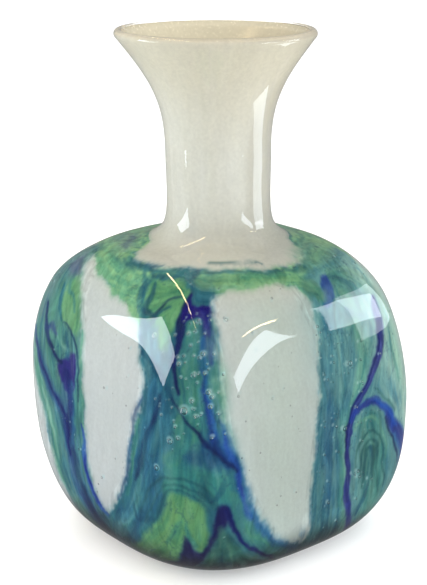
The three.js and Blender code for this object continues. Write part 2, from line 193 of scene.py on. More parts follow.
class CoreSkin:
    """The skin of the opal core, where a direction and a lift off it give a point."""

    LATITUDES = np.linspace(-89.5, 70, 320)
    AZIMUTH_STEP = 2.0
    AZIMUTHS = np.arange(-180, 181, AZIMUTH_STEP)

    def __init__(self):
        self.points, self.normals = profile((260, 260, 120, 60))
        foot_r = np.linspace(0.01, FOOT_HALF, 60, endpoint=False)
        foot = np.stack([foot_r, np.zeros_like(foot_r)], 1)
        down = np.tile([0.0, -1.0], (len(foot), 1))
        self.points = np.vstack([foot, self.points])
        self.normals = np.vstack([down, self.normals])
        self.station = np.arange(len(self.points), dtype=float)
        self.at_latitude = np.array([self._column(a) for a in np.radians(self.AZIMUTHS)])

    def _column(self, azimuth):
        latitude = directions(self._place(self.station, np.full_like(self.station, azimuth), 0))[1]
        return np.interp(self.LATITUDES, np.maximum.accumulate(latitude), self.station)

    def _place(self, station, azimuth, lift):
        r = np.interp(station, self.station, self.points[:, 0])
        z = np.interp(station, self.station, self.points[:, 1])
        nr = np.interp(station, self.station, self.normals[:, 0])
        nz = np.interp(station, self.station, self.normals[:, 1])
        depth = by_height(COVER, z) - lift
        return spun(np.maximum(r - nr * depth, 0), z - nz * depth, squareness(z), azimuth)

    def at(self, azimuth, latitude, lift):
        a = np.mod(azimuth + 180, 360) / self.AZIMUTH_STEP
        row = (latitude - self.LATITUDES[0]) / (self.LATITUDES[1] - self.LATITUDES[0])
        row = np.clip(row, 0, len(self.LATITUDES) - 1.001)
        i, j = np.floor(a).astype(int) % (len(self.AZIMUTHS) - 1), np.floor(row).astype(int)
        u, v = a - np.floor(a), row - j
        t = self.at_latitude
        station = (t[i, j] * (1 - u) * (1 - v) + t[i + 1, j] * u * (1 - v)
                   + t[i, j + 1] * (1 - u) * v + t[i + 1, j + 1] * u * v)
        return self._place(station, np.radians(azimuth), lift)


core_skin = CoreSkin()


# ---- Smooth noise ----
def lattice_lookup(table, row, col):
    """Bilinear values of a table at fractional rows and columns."""
    row = np.clip(row, 0, table.shape[0] - 1.001)
    col = np.clip(col, 0, table.shape[1] - 1.001)
    i, j = row.astype(np.int32), col.astype(np.int32)
    u, v = row - i, col - j
    if table.ndim == 3:
        u, v = u[..., None], v[..., None]
    low = table[i, j] * (1 - v) + table[i, j + 1] * v
    high = table[i + 1, j] * (1 - v) + table[i + 1, j + 1] * v
    return low * (1 - u) + high * u


NOISE_SIZE = 128
noise_tables = {}


def noise(x, y, seed, period=0):
    """Smooth random values from 0 to 1. With a period, x wraps round."""
    if seed not in noise_tables:
        noise_tables[seed] = np.random.default_rng(seed).random((NOISE_SIZE, NOISE_SIZE)).astype(np.float32)
    table = noise_tables[seed]
    x, y = np.broadcast_arrays(np.asarray(x, np.float32), np.asarray(y, np.float32))
    i, j = np.floor(x).astype(np.int32), np.floor(y).astype(np.int32)
    u, v = ramp(x - i), ramp(y - j)
    wrap = period or NOISE_SIZE
    i0, i1 = (i % wrap) % NOISE_SIZE, ((i + 1) % wrap) % NOISE_SIZE
    j0, j1 = j % NOISE_SIZE, (j + 1) % NOISE_SIZE
    low = table[i0, j0] * (1 - u) + table[i1, j0] * u
    high = table[i0, j1] * (1 - u) + table[i1, j1] * u
    return low * (1 - v) + high * v


def layered_noise(x, y, seed, octaves=3, period=0):
    total, weight = 0.0, 0.0
    for k in range(octaves):
        share = 0.5**k
        total = total + share * noise(x * 2**k, y * 2**k, seed=seed + k, period=period * 2**k)
        weight += share
    return total / weight


# ---- The colour of the glass, laid on in strokes ----
def smooth_path(points, per_span=10, closed=False):
    """A Catmull-Rom line through given points of any number of columns."""
    p = np.asarray(points, float)
    if closed:
        p = np.vstack([p[-1], p, p[0], p[1]])
    else:
        p = np.vstack([2 * p[0] - p[1], p, 2 * p[-1] - p[-2]])
    t = np.linspace(0, 1, per_span, endpoint=False)[:, None]
    out = []
    for a, b, c, d in zip(p[:-3], p[1:-2], p[2:-1], p[3:]):
        out.append(0.5 * (2 * b + (c - a) * t + (2 * a - 5 * b + 4 * c - d) * t**2
                          + (3 * b - a - 3 * c + d) * t**3))
    if not closed:
        out.append(p[-2:-1])
    return np.vstack(out)


class Canvas:
    """Colour by direction on the core's skin."""

    STEP = 0.25
    WIDTH = int(360 / STEP)
    LOW, HIGH = -90.0, 70.0
    WAVER = 1.8  # degrees, the width within which every edge wanders
    FLOW_STEP = 2.5

    def __init__(self):
        latitudes = np.arange(self.LOW, self.HIGH, self.STEP, dtype=np.float32) + self.STEP / 2
        azimuths = np.arange(self.WIDTH, dtype=np.float32) * self.STEP - 180 + self.STEP / 2
        self.az, self.lat = np.meshgrid(azimuths, latitudes)
        self.rgb = np.zeros(self.az.shape + (3,), np.float32)
        bend_az = layered_noise(self.az / 6, self.lat / 8, seed=11, octaves=3, period=60) - 0.5
        bend_lat = layered_noise(self.az / 6, self.lat / 8, seed=21, octaves=3, period=60) - 0.5
        self.waver_az, self.waver_lat = self.WAVER * bend_az, self.WAVER * bend_lat
        self.guides = []

    def window(self, low_az, high_az, low_lat, high_lat):
        """Rows and columns round a region; the columns wrap at the back."""
        rows = np.arange(max(0, int((low_lat - self.LOW) / self.STEP)),
                         min(self.rgb.shape[0], int((high_lat - self.LOW) / self.STEP) + 1))
        cols = np.arange(int((low_az + 180) / self.STEP), int((high_az + 180) / self.STEP) + 1)
        return rows, cols

    def local(self, rows, cols):
        """Wavering azimuth and latitude in a window, with azimuth running on past the back."""
        grid = np.ix_(rows, cols % self.WIDTH)
        az = (cols[None] * self.STEP - 180 + self.STEP / 2).astype(np.float32) + self.waver_az[grid]
        return grid, az, self.lat[grid] + self.waver_lat[grid]

    def blend(self, grid, colour, amount):
        amount = np.clip(amount, 0, 1)[..., None]
        self.rgb[grid] = self.rgb[grid] * (1 - amount) + np.asarray(colour, np.float32) * amount

    def guide(self, path, weight=1.0):
        """Remembers a line that the fine streaks of the glass follow."""
        for (a0, l0), (a1, l1) in zip(path[:-1:3, :2], path[3::3, :2]):
            dx, dy = (a1 - a0) * math.cos(math.radians((l0 + l1) / 2)), l1 - l0
            if math.hypot(dx, dy) > 0.05:
                self.guides.append(((a0 + a1) / 2, (l0 + l1) / 2, math.atan2(dy, dx), weight))

    def guide_round(self, latitudes, weight):
        """Guides the streaks round the body at each of these latitudes."""
        for latitude in latitudes:
            self.guide(np.array([(a, latitude) for a in range(-180, 181, 2)], float), weight)

    def stroke(self, points, colour, opacity=1.0, edge=0.35, streak=0.0, second=None, bristles=5, seed=1):
        """A stroke through points (azimuth, latitude, half width), streaked along its length."""
        path = smooth_path(points, 6 if len(points) > 2 else 1)
        self.guide(path)
        reach = path[:, 2].max() * (1 + edge) * 1.3 + 1.2
        stretch = 1 / math.cos(math.radians(min(80, abs(path[:, 1]).max() + 1)))
        rows, cols = self.window(path[:, 0].min() - reach * stretch, path[:, 0].max() + reach * stretch,
                                 path[:, 1].min() - reach, path[:, 1].max() + reach)
        if len(rows) == 0:
            return
        grid, az, lat = self.local(rows, cols)
        first_az, first_lat = cols[0] * self.STEP - 180, rows[0] * self.STEP + self.LOW
        nearest = np.full(az.shape, 1e6, np.float32)
        across, along = np.zeros_like(nearest), np.zeros_like(nearest)
        run = 0.0
        for (a0, l0, w0), (a1, l1, w1) in zip(path[:-1], path[1:]):
            shrink = math.cos(math.radians((l0 + l1) / 2))
            dx, dy = (a1 - a0) * shrink, l1 - l0
            length = math.hypot(dx, dy)
            if length < 1e-6:
                continue
            near = (slice(max(0, int((min(l0, l1) - reach - first_lat) / self.STEP)),
                          max(0, int((max(l0, l1) + reach - first_lat) / self.STEP) + 2)),
                    slice(max(0, int((min(a0, a1) - reach * stretch - first_az) / self.STEP)),
                          max(0, int((max(a0, a1) + reach * stretch - first_az) / self.STEP) + 2)))
            px, py = (az[near] - a0) * shrink, lat[near] - l0
            t = np.clip((px * dx + py * dy) / length**2, 0, 1)
            ox, oy = px - t * dx, py - t * dy
            share = np.hypot(ox, oy) / np.maximum(w0 + (w1 - w0) * t, 0.02)
            closer = share < nearest[near]
            side = np.sign(dx * py - dy * px)
            nearest[near] = np.where(closer, share, nearest[near])
            across[near] = np.where(closer, side * share, across[near])
            along[near] = np.where(closer, run + t * length, along[near])
            run += length
        across = np.clip(across, -1.2, 1.2)
        rough = 0.35 * (layered_noise(along * 0.5 + 50, across * 2 + 50, seed + 3) - 0.5)
        cover = 1 - ramp((nearest + rough - (1 - edge)) / (2 * edge))
        bristle = layered_noise(across * bristles + 40, along * 0.12 + 7, seed=seed + 9, octaves=3)
        if second is not None:
            mix = ramp((bristle - 0.35) / 0.3)[..., None]
            colour = np.asarray(colour, np.float32) * (1 - mix) + np.asarray(second, np.float32) * mix
        amount = opacity * cover * (1 - streak + streak * ramp((bristle - 0.25) / 0.4))
        self.blend(grid, colour, amount)

    def fill(self, outline, colour, opacity=1.0, edge=0.8, rag=0.8, seed=1):
        """A closed patch with a soft, ragged edge; edge and rag are in degrees."""
        path = smooth_path(outline, 6, closed=True)
        self.guide(path, 0.6)
        margin = edge + rag + 2
        rows, cols = self.window(path[:, 0].min() - margin * 1.6, path[:, 0].max() + margin * 1.6,
                                 path[:, 1].min() - margin, path[:, 1].max() + margin)
        if len(rows) == 0:
            return
        grid, az, lat = self.local(rows, cols)
        coarse = 4 * self.STEP
        first_az, first_lat = cols[0] * self.STEP - 180 - 2, rows[0] * self.STEP + self.LOW - 2
        coarse_az = first_az + coarse * np.arange(int(len(cols) / 4) + 6)
        coarse_lat = first_lat + coarse * np.arange(int(len(rows) / 4) + 6)
        distance = inside_distance(*np.meshgrid(coarse_az, coarse_lat), path).astype(np.float32)
        inside = lattice_lookup(distance, (lat - first_lat) / coarse, (az - first_az) / coarse)
        ragged = 2 * rag * (layered_noise(az * 0.9 + 60, lat * 0.9 + 60, seed=seed + 5, octaves=4) - 0.5)
        self.blend(grid, colour, opacity * ramp((inside + ragged) / edge * 0.5 + 0.5))

    def streaks(self, left, right, count, palette, width, opacity, seed, spread=1.0):
        """Fine strokes that follow the flow between two guide lines."""
        rng = np.random.default_rng(seed)
        left, right = smooth_path(left, 6), smooth_path(right, 6)
        steps = np.linspace(0, 1, 14)
        left = np.stack([np.interp(steps, np.linspace(0, 1, len(left)), left[:, k]) for k in (0, 1)], 1)
        right = np.stack([np.interp(steps, np.linspace(0, 1, len(right)), right[:, k]) for k in (0, 1)], 1)
        for k in range(count):
            share = 0.5 + (rng.random() - 0.5) * spread
            drift = 0.12 * (rng.random() - 0.5)
            first = rng.integers(0, 9)
            last = min(14, first + rng.integers(4, 9))
            s = np.clip(share + drift * np.linspace(-1, 1, 14), 0, 1)[:, None]
            line = (left * (1 - s) + right * s)[first:last]
            taper = np.sin(np.linspace(0.12, np.pi - 0.12, len(line))) ** 0.6
            widths = width * (0.4 + 1.2 * rng.random()) * taper
            self.stroke(np.column_stack([line, widths]), palette[rng.integers(len(palette))],
                        opacity * (0.4 + 0.6 * rng.random()), 0.7, 0.5, seed=seed + 31 * (k % 8))

    def at(self, azimuth, latitude):
        """Linear colours, interpolated."""
        x = np.mod((azimuth + 180) / self.STEP - 0.5, self.WIDTH)
        y = np.clip((latitude - self.LOW) / self.STEP - 0.5, 0, self.rgb.shape[0] - 1.001)
        wrapped = np.concatenate([self.rgb, self.rgb[:, :2]], axis=1)
        return linear(lattice_lookup(wrapped, y, x))

    # The last passes, which turn the strokes into marbled glass.
    def warp(self, size, amount, seed):
        """Pushes the colours about by fine noise, so that no edge stays smooth."""
        dx = amount * (layered_noise(self.az / size, self.lat / size, seed=seed, octaves=3,
                                     period=int(360 / size)) - 0.5)
        dy = amount * (layered_noise(self.az / size, self.lat / size, seed=seed + 40, octaves=3,
                                     period=int(360 / size)) - 0.5)
        col = np.mod((self.az + dx + 180) / self.STEP - 0.5, self.WIDTH)
        row = (self.lat + dy - self.LOW) / self.STEP - 0.5
        wrapped = np.concatenate([self.rgb, self.rgb[:, :2]], axis=1)
        self.rgb = lattice_lookup(wrapped, row, col).astype(np.float32)

    def flow(self):
        """The direction of the streaks on a coarse grid, as the cosine and sine of twice its angle."""
        step = self.FLOW_STEP
        az, lat = np.meshgrid(np.arange(-180, 180 + step, step), np.arange(self.LOW, self.HIGH + step, step))
        c2, s2 = np.full(az.shape, -0.02), np.zeros(az.shape)
        for a, l, angle, weight in self.guides:
            away = np.mod(az - a + 180, 360) - 180
            away = away * np.cos(np.radians(lat))
            pull = weight / (away**2 + (lat - l) ** 2 + 0.7) ** 1.6
            c2 += pull * math.cos(2 * angle)
            s2 += pull * math.sin(2 * angle)
        size = np.hypot(c2, s2) + 1e-9
        return np.stack([c2 / size, s2 / size], -1).astype(np.float32)

    def drawn_out(self, tables, where, steps=22, stride=0.3):
        """Noise smeared along the flow, at the pixels named, with zero mean and unit spread."""
        az, lat = self.az[where], self.lat[where]
        totals = [np.zeros_like(az) for _ in tables]
        for sense in (1, -1):
            x, y = az.copy(), lat.copy()
            heading = None
            for step in range(steps):
                row, col = (y - self.LOW) / self.FLOW_STEP, np.mod(x + 180, 360) / self.FLOW_STEP
                double = lattice_lookup(self.flow_field, row, col)
                angle = 0.5 * np.arctan2(double[:, 1], double[:, 0])
                ux, uy = np.cos(angle), np.sin(angle)
                if heading is None:
                    flip = np.full(len(x), sense, np.float32)
                else:
                    flip = np.where(ux * heading[0] + uy * heading[1] < 0, -1, 1).astype(np.float32)
                heading = (ux * flip, uy * flip)
                x += stride * heading[0] / np.maximum(np.cos(np.radians(y)), 0.15)
                y += stride * heading[1]
                i = np.clip(((y - self.LOW) / self.STEP).astype(np.int32), 0, self.rgb.shape[0] - 1)
                j = np.mod(((x + 180) / self.STEP).astype(np.int32), self.WIDTH)
                fade = 0.5 + 0.5 * math.cos(math.pi * step / steps)
                for total, table in zip(totals, tables):
                    total += fade * table[i, j]
        return [(t - t.mean()) / t.std() for t in totals]

    def marble(self, bare):
        """Adds fine streaks and veins along the flow wherever the glass differs from the bare opal."""
        self.flow_field = self.flow()
        cover = ramp(np.abs(self.rgb - bare).max(axis=2) / 60) * ramp((66 - self.lat) / 4)
        where = cover > 0.03
        rng = np.random.default_rng(5)
        fine = rng.random(self.az.shape).astype(np.float32)
        broad = layered_noise(self.az / 1.2, self.lat / 1.2, seed=301, octaves=2, period=300)
        wide = layered_noise(self.az / 3.0, self.lat / 3.0, seed=311, octaves=2, period=120)
        fine, broad, wide = self.drawn_out([fine, broad, wide], where)
        share = cover[where][:, None]
        colour = self.rgb[where]
        tone = np.clip(0.40 * fine + 0.55 * broad + 0.55 * wide, -2.4, 2.4)[:, None]
        darker = np.clip(-tone, 0, None) * share
        paler = np.clip(tone, 0, None) * share
        colour = colour * (1 - darker * np.array([0.15, 0.085, 0.04], np.float32))
        colour = colour + (np.array([176, 212, 188], np.float32) - colour) * paler * 0.085
        patchy = noise(self.az / 9, self.lat / 9, seed=77, period=40)[where]
        line = 1 - ramp(np.abs(broad - 0.9) / 0.16)
        line = np.maximum(line, 0.8 * (1 - ramp(np.abs(wide + 0.7) / 0.10)))
        vein = (line * ramp((patchy - 0.35) / 0.3))[:, None] * share**3
        colour = colour + (np.array([22, 52, 92], np.float32) - colour) * vein * 0.42
        self.rgb[where] = colour

    def halo(self, bare, reach, strength):
        """Lets the colour bleed into the opal beside it."""
        blurred = self.rgb.copy()
        span = int(reach / self.STEP)
        for _ in range(3):
            for axis in (0, 1):
                total = np.zeros_like(blurred)
                for shift in range(-span, span + 1):
                    total += np.roll(blurred, shift, axis=axis)
                blurred = total / (2 * span + 1)
        clear = 1 - ramp(np.abs(self.rgb - bare).max(axis=2, keepdims=True) / 50)
        grain = layered_noise(self.az / 1.1, self.lat / 1.1, seed=441, octaves=2, period=320)[..., None]
        share = strength * clear * (0.35 + 1.1 * ramp((grain - 0.3) / 0.35))
        share = share * (np.abs(self.lat - 5) < 62)[..., None]
        self.rgb = self.rgb + (blurred - self.rgb) * np.clip(share, 0, 1)

    def soften(self, amount):
        """Blurs by about one step of the canvas."""
        for axis in (0, 1):
            beside = (np.roll(self.rgb, 1, axis=axis) + np.roll(self.rgb, -1, axis=axis)) / 2
            self.rgb = self.rgb * (1 - amount) + beside * amount

    def glint_spots(self, spots):
        """Pale spots where a bubble above gathers the light."""
        for azimuth, latitude, radius, _ in spots:
            size = 1.15 * radius
            rows, cols = self.window(azimuth - 3 * size, azimuth + 3 * size, latitude - 2 * size,
                                     latitude + 2 * size)
            grid = np.ix_(rows, cols % self.WIDTH)
            az = cols[None] * self.STEP - 180 + self.STEP / 2
            away = np.hypot((az - azimuth) * math.cos(math.radians(latitude)),
                            self.lat[grid] - latitude) / size
            amount = 0.62 * (1 - ramp((away - 0.55) / 0.6)) + 0.22 * np.exp(-(((away - 0.95) / 0.2) ** 2))
            self.blend(grid, (178, 214, 216), np.clip(amount, 0, 0.8))


def linear(srgb):
    s = np.clip(np.asarray(srgb, float) / 255, 0, 1)
    return np.where(s <= 0.04045, s / 12.92, ((s + 0.055) / 1.055) ** 2.4)


def inside_distance(az, lat, path):
    """Distance in degrees inside a closed outline, negative outside."""
    best = np.full(az.shape, 1e9)
    crossings = np.zeros(az.shape, bool)
    shrink = np.cos(np.radians(np.clip(lat, -75, 75)))
    for (a0, l0), (a1, l1) in zip(path[:, :2], np.roll(path[:, :2], -1, axis=0)):
        dx, dy = (a1 - a0) * shrink, l1 - l0
        px, py = (az - a0) * shrink, lat - l0
        t = np.clip((px * dx + py * dy) / (dx * dx + dy * dy + 1e-12), 0, 1)
        best = np.minimum(best, np.hypot(px - t * dx, py - t * dy))
        if l0 != l1:
            crosses = (l0 > lat) != (l1 > lat)
            crossings ^= crosses & (az < a0 + (a1 - a0) * (lat - l0) / (l1 - l0))
    return np.where(crossings, best, -best)


# ---- The pattern: each column of colour as it lies on the core ----
# A stroke is (points, colour, opacity, edge, streak, second colour, bristles); a fill is (outline, colour,
# opacity, edge, rag). A stroke's points are (azimuth, latitude, half width).
def moved(points, shift, mirror_about=None):
    """The same stroke further round the body, mirrored about an azimuth if one is given."""
    out = []
    for azimuth, *rest in points:
        if mirror_about is not None:
            azimuth = 2 * mirror_about - azimuth
        out.append((azimuth + shift, *rest))
    return out


class Column:
    """Draws one column of colour, or its mirror image further round."""

    def __init__(self, canvas, shift=0, mirror_about=None, seed=0):
        self.canvas, self.shift, self.mirror_about, self.seed = canvas, shift, mirror_about, seed

    def place(self, points):
        return moved(points, self.shift, self.mirror_about)

    def fill(self, outline, *args, seed=1, **more):
        self.canvas.fill(self.place(outline), *args, seed=seed + self.seed, **more)

    def stroke(self, points, *args, seed=1, **more):
        self.canvas.stroke(self.place(points), *args, seed=seed + self.seed, **more)

    def streaks(self, left, right, *args, seed=1, **more):
        self.canvas.streaks(self.place(left), self.place(right), *args, seed=seed + self.seed, **more)


def ground(canvas):
    """The opal core, cooler low down and creamier up the neck."""
    up = ramp((canvas.lat - 38) / 14)[..., None]
    right_flat = ramp(1 - np.abs(canvas.az + 18) / 34)[..., None] * (1 - up)
    # Towards the neck the opal takes the skirt colour, which carries painted shade.
    canvas.rgb[:] = mixed(OPAL, SHADED_SKIRT, up)
    canvas.rgb += right_flat * np.array([-5.0, 2.0, -4.0])
    mottle = layered_noise(canvas.az / 9, canvas.lat / 9, seed=79, octaves=3, period=40) - 0.5
    canvas.rgb += mottle[..., None] * np.array([5.0, 4.5, 6.0])


def front_column(c):
    c.fill([(-76, 50), (-73, 38), (-69, 28), (-66, 17), (-67, 8), (-70.5, -3), (-73.5, -17), (-78, -28),
            (-87, -37), (-94, -46), (-95, -60), (-10, -60), (-5, -47), (-14, -42), (-21, -36), (-27, -28),
            (-31, -20), (-34, -10), (-37.5, -2), (-40, 8), (-41, 20), (-41.5, 30), (-43, 40), (-44, 50)],
           TEAL, 1, 1.6, 1.4, seed=1)
    left_edge = [(-70, 36), (-66, 20), (-66, 8), (-70, -4), (-73, -17), (-78, -29), (-87, -39), (-92, -50)]
    middle = [(-56, 30), (-54, 16), (-54, 2), (-56, -12), (-59, -22), (-65, -32), (-73, -42), (-80, -50)]
    right_edge = [(-43, 34), (-42, 20), (-41, 8), (-38, -2), (-34, -12), (-30, -22), (-23, -36), (-14, -48)]
    c.streaks(left_edge, middle, 60, (DEEP_TEAL, BLUE_TEAL, TEAL, SEA, PALE_TEAL, BLUE_TEAL), 0.9, 0.6,
              seed=100)
    c.streaks(middle, right_edge, 40, (SEA, TEAL, BLUE_TEAL, GREEN), 0.9, 0.5, seed=200)
    # The greener middle of the column.
    c.stroke([(-50, 36, 1.5), (-49.5, 24, 2.8), (-49, 12, 3), (-50, 2, 3.4), (-53, -6, 3)],
             SEA, 0.85, 0.6, 0.3, GREEN, 4)
    c.stroke([(-49, 30, 0.5), (-48.6, 20, 0.7), (-48, 8, 0.5)], PALE_TEAL, 0.4, 0.8, 0.4)
    c.stroke([(-51, 27, 0.3), (-50.6, 18, 0.4), (-50.6, 9, 0.3)], DEEP_TEAL, 0.5, 0.7)
    # Blue-teal field on its left, with dark seams.
    c.stroke([(-61, 20, 2), (-59, 6, 4.5), (-61, -8, 5.5), (-64, -20, 5), (-70, -30, 3)],
             BLUE_TEAL, 0.75, 0.7, 0.4, TEAL, 5)
    c.stroke([(-68, 27, 0.8), (-62, 23, 1.2), (-57, 18, 1.2), (-53.5, 13, 0.6)], DEEP_TEAL, 0.9, 0.5, 0.2)
    c.stroke([(-58, 14, 0.5), (-59.5, 8, 1), (-62, 1, 1.2), (-65, -6, 1.2), (-67, -14, 0.9), (-69, -20, 0.4)],
             INK, 0.75, 0.6, 0.2, DEEP_TEAL)
    c.stroke([(-66.5, 12, 0.4), (-69.5, 4, 0.8), (-71, -5, 0.8), (-73, -14, 0.8), (-75.5, -22, 0.6),
              (-80, -30, 0.5)], INK, 0.7, 0.6, 0.35, BLUE_TEAL)
    c.stroke([(-67.3, 4, 0.7), (-69, -4, 1), (-70.6, -14, 0.9), (-74, -26, 0.6)], SEA, 0.8, 0.5, 0.3, GREEN)
    c.stroke([(-71, -20, 0.8), (-75, -28, 1.5), (-82, -36, 1.6), (-88, -44, 1.4)], SEA, 0.7, 0.6, 0.3, TEAL)
    c.stroke([(-66, -16, 0.5), (-68, -24, 1.1), (-71, -31, 1.2), (-78, -38, 1)],
             SEA, 0.55, 0.6, 0.4, PALE_TEAL)
    c.stroke([(-61, -28, 0.6), (-65, -31, 0.9), (-69, -32, 0.6), (-70, -28, 0.4)], DEEP_TEAL, 0.7, 0.6)
    # Lime lobes under the collar, between dark seams.
    c.fill([(-73, 50), (-66, 50), (-58, 50.5), (-53, 48), (-51.5, 44), (-53.5, 38), (-56, 31), (-58, 27.5),
            (-60, 31), (-64, 35), (-70, 38), (-74, 43)], LIME, 0.95, 1.2, 1.0, seed=2)
    c.stroke([(-70.5, 39, 1.2), (-66, 38.2, 1), (-62.5, 40.5, 0.7), (-58.5, 42.8, 0.5), (-55, 43.3, 0.3)],
             INK, 0.75, 0.5, 0.2, DEEP_TEAL)
    c.stroke([(-66, 36, 0.9), (-62.5, 38.6, 0.7), (-58.5, 39.8, 0.4)], DEEP_TEAL, 0.7, 0.6)
    c.stroke([(-71, 49, 0.5), (-69.5, 45, 1), (-71.5, 40, 1.2)], DEEP_TEAL, 0.7, 0.6)
    c.stroke([(-60, 36, 0.5), (-57.5, 32, 0.6), (-56.5, 28, 0.3)], GREEN, 0.7, 0.6)
    # The cobalt crest and its two legs.
    c.stroke([(-51, 45.5, 0.3), (-52, 41, 1.1), (-53, 35, 1.3), (-53.2, 29, 1), (-53, 22, 0.7),
              (-52.2, 15, 0.3)], INK, 0.95, 0.4, 0.1, NAVY)
    c.fill([(-50.8, 46), (-49.6, 41.5), (-46.5, 40.8), (-43.6, 41), (-43, 37.5), (-42.4, 33), (-44, 31.5),
            (-45.2, 35), (-48, 37), (-52, 35.5), (-53.2, 39), (-51.4, 42)],
           (26, 18, 112), 1, 0.5, 0.7, seed=3)
    c.stroke([(-45.4, 38, 1.3), (-43.6, 33, 1.3), (-42.8, 28, 1.0), (-42.6, 23, 0.6)],
             (34, 40, 130), 0.8, 0.5, 0.5)
    c.stroke([(-42.6, 36, 0.8), (-41.8, 26, 1.6), (-40.8, 16, 2.2), (-39.6, 8, 2.2), (-37.6, 0, 1.8),
              (-35.4, -7, 1.2)], (134, 182, 172), 0.6, 0.95, 0.4, GREEN, 4)
    c.stroke([(-45.2, 31, 0.6), (-44.6, 23, 0.9), (-44.2, 15, 1.0), (-42.8, 7, 1.2), (-41, 0, 1.5),
              (-38, -6, 1.4)], BLUE_TEAL, 0.75, 0.7, 0.4, BRIGHT_BLUE, 4)
    c.stroke([(-45.2, 22, 0.2), (-44.3, 14, 0.4), (-43.4, 6, 0.6), (-41.5, 0, 0.9), (-38.5, -5, 0.8),
              (-35.5, -10, 0.3)], NAVY, 0.6, 0.7, 0.35, COBALT)
    # Blue margin down the right side.
    c.stroke([(-40.5, 8, 0.5), (-38.5, 0, 1.3), (-36, -7, 1.3), (-33.6, -14, 1.4), (-31.6, -21, 1.3),
              (-28.4, -28, 1.4), (-23, -36, 1.5), (-15, -42.5, 1.5), (-8, -46, 1.2)],
             (58, 112, 172), 0.85, 0.7, 0.35, BLUE_TEAL)
    c.stroke([(-39.6, 4, 0.3), (-37.6, -4, 0.8), (-35.2, -11, 0.8), (-33.4, -18, 0.7), (-30.6, -26, 0.5)],
             BRIGHT_BLUE, 0.75, 0.6, 0.3, COBALT)
    # Thin dark line across, and the knot it runs into.
    c.stroke([(-54, 14, 0.15), (-51, 9, 0.32), (-47, 4.5, 0.36), (-43.5, 0.5, 0.5), (-39.5, -4.5, 0.5),
              (-36, -9.5, 0.3)], INK, 0.95, 0.45)
    c.fill([(-48, -1), (-44.5, 1.5), (-41, 1), (-37.5, -5), (-36.8, -8.4), (-40, -6.6), (-45, -6),
            (-50, -4.5)], (26, 60, 116), 0.5, 2.0, 1.6, seed=4)
    # Green folds below the knot.
    c.fill([(-53, -7), (-46, -7.5), (-40, -8.5), (-37, -13), (-36, -20), (-39, -18), (-42, -19), (-46, -16),
            (-50, -15.5), (-54, -18), (-57, -15)], SEA, 0.9, 2.0, 1.2, seed=5)
    for spread in (1.0, 2.3, 3.6, 5.0):
        c.stroke([(-42.8 - spread, -6.5 - spread, 0.15), (-43.4 - spread * 0.5, -12 - spread * 0.5, 0.3),
                  (-42.2, -16.2 - spread * 0.4, 0.3), (-40.6 + spread * 0.2, -12.4 - spread * 0.4, 0.25),
                  (-39 + spread * 0.3, -8.5 - spread * 0.5, 0.12)],
                 DEEP_TEAL, 0.5, 0.6, seed=int(10 * spread))
    # The lime tongue with its two limbs.
    c.fill([(-51, -16.3), (-55, -18.8), (-57.6, -24.5), (-61, -30.5), (-67, -37), (-76, -44), (-82, -52),
            (-65, -52), (-60.5, -47.5), (-55, -41.5), (-51.6, -35.5), (-50.2, -30), (-48.8, -32.5),
            (-46.4, -36.5), (-44, -34.5), (-43.2, -28), (-43.8, -21.5), (-46.8, -17.4)],
           (104, 166, 112), 1, 0.9, 0.25, seed=6)
    c.streaks([(-54.5, -19), (-58, -27), (-65, -36), (-77, -47)],
              [(-50.5, -19), (-52, -27), (-58, -37), (-67, -48)],
              16, (GREEN, (120, 172, 104), SEA), 0.5, 0.6, seed=300)
    c.streaks([(-50, -18), (-48, -24), (-47.5, -33)], [(-45.5, -18), (-44.2, -24), (-44.2, -33)],
              10, (GREEN, SEA, (98, 156, 102)), 0.45, 0.6, seed=310)
    c.stroke([(-50.4, -24, 0.2), (-49.6, -29, 0.7), (-47.4, -33.5, 0.8)], SEA, 0.8, 0.6)
    for out in (0, 2.2, 4.6):
        c.stroke([(-62.5 - out, -34 + out, 0.2), (-59 - out, -25 + out, 0.4),
                  (-55.6 - out * 0.5, -18 + out, 0.4), (-51, -15 + out * 0.9, 0.4),
                  (-46.4 + out * 0.3, -16 + out * 0.8, 0.3), (-43 + out * 0.4, -21 + out, 0.2)],
                 (36, 88, 96), 0.65, 0.6, seed=int(10 + out))
    # Navy wedge between the limbs, rising to the chevron.
    c.fill([(-50.6, -30), (-48, -35), (-45, -36), (-43, -30.5), (-41.6, -25), (-40.6, -19.4), (-39, -19.2),
            (-37.4, -22.5), (-38.6, -27), (-41.6, -33), (-44, -39), (-47, -43), (-55, -46.5), (-66, -50),
            (-61, -47.5), (-55, -42), (-51.6, -36)], (24, 26, 84), 1, 0.6, 0.2, seed=7)
    c.stroke([(-38.8, -20, 0.5), (-36.6, -25.5, 0.7), (-33.6, -31, 0.6), (-29.4, -36.5, 0.55),
              (-25, -41.5, 0.6), (-18, -46, 0.5)], NAVY, 0.95, 0.45)
    c.fill([(-39.6, -25), (-36.6, -31), (-31, -38), (-26, -43), (-20, -48), (-24, -56), (-45, -56),
            (-46, -44), (-42.4, -35)], (52, 104, 96), 0.9, 1.0, 0.8, seed=8)
    c.streaks([(-40, -28), (-42, -36), (-45, -48)], [(-37.5, -28), (-31, -38), (-24, -48)], 12,
              (DEEP_TEAL, GREEN, TEAL), 0.5, 0.5, seed=320)
    c.stroke([(-37, -15, 1), (-34, -23, 1.4), (-30, -31, 1.6), (-23, -39, 1.6), (-14, -45, 1.3)],
             (76, 134, 132), 0.8, 0.6, 0.3, GREEN)


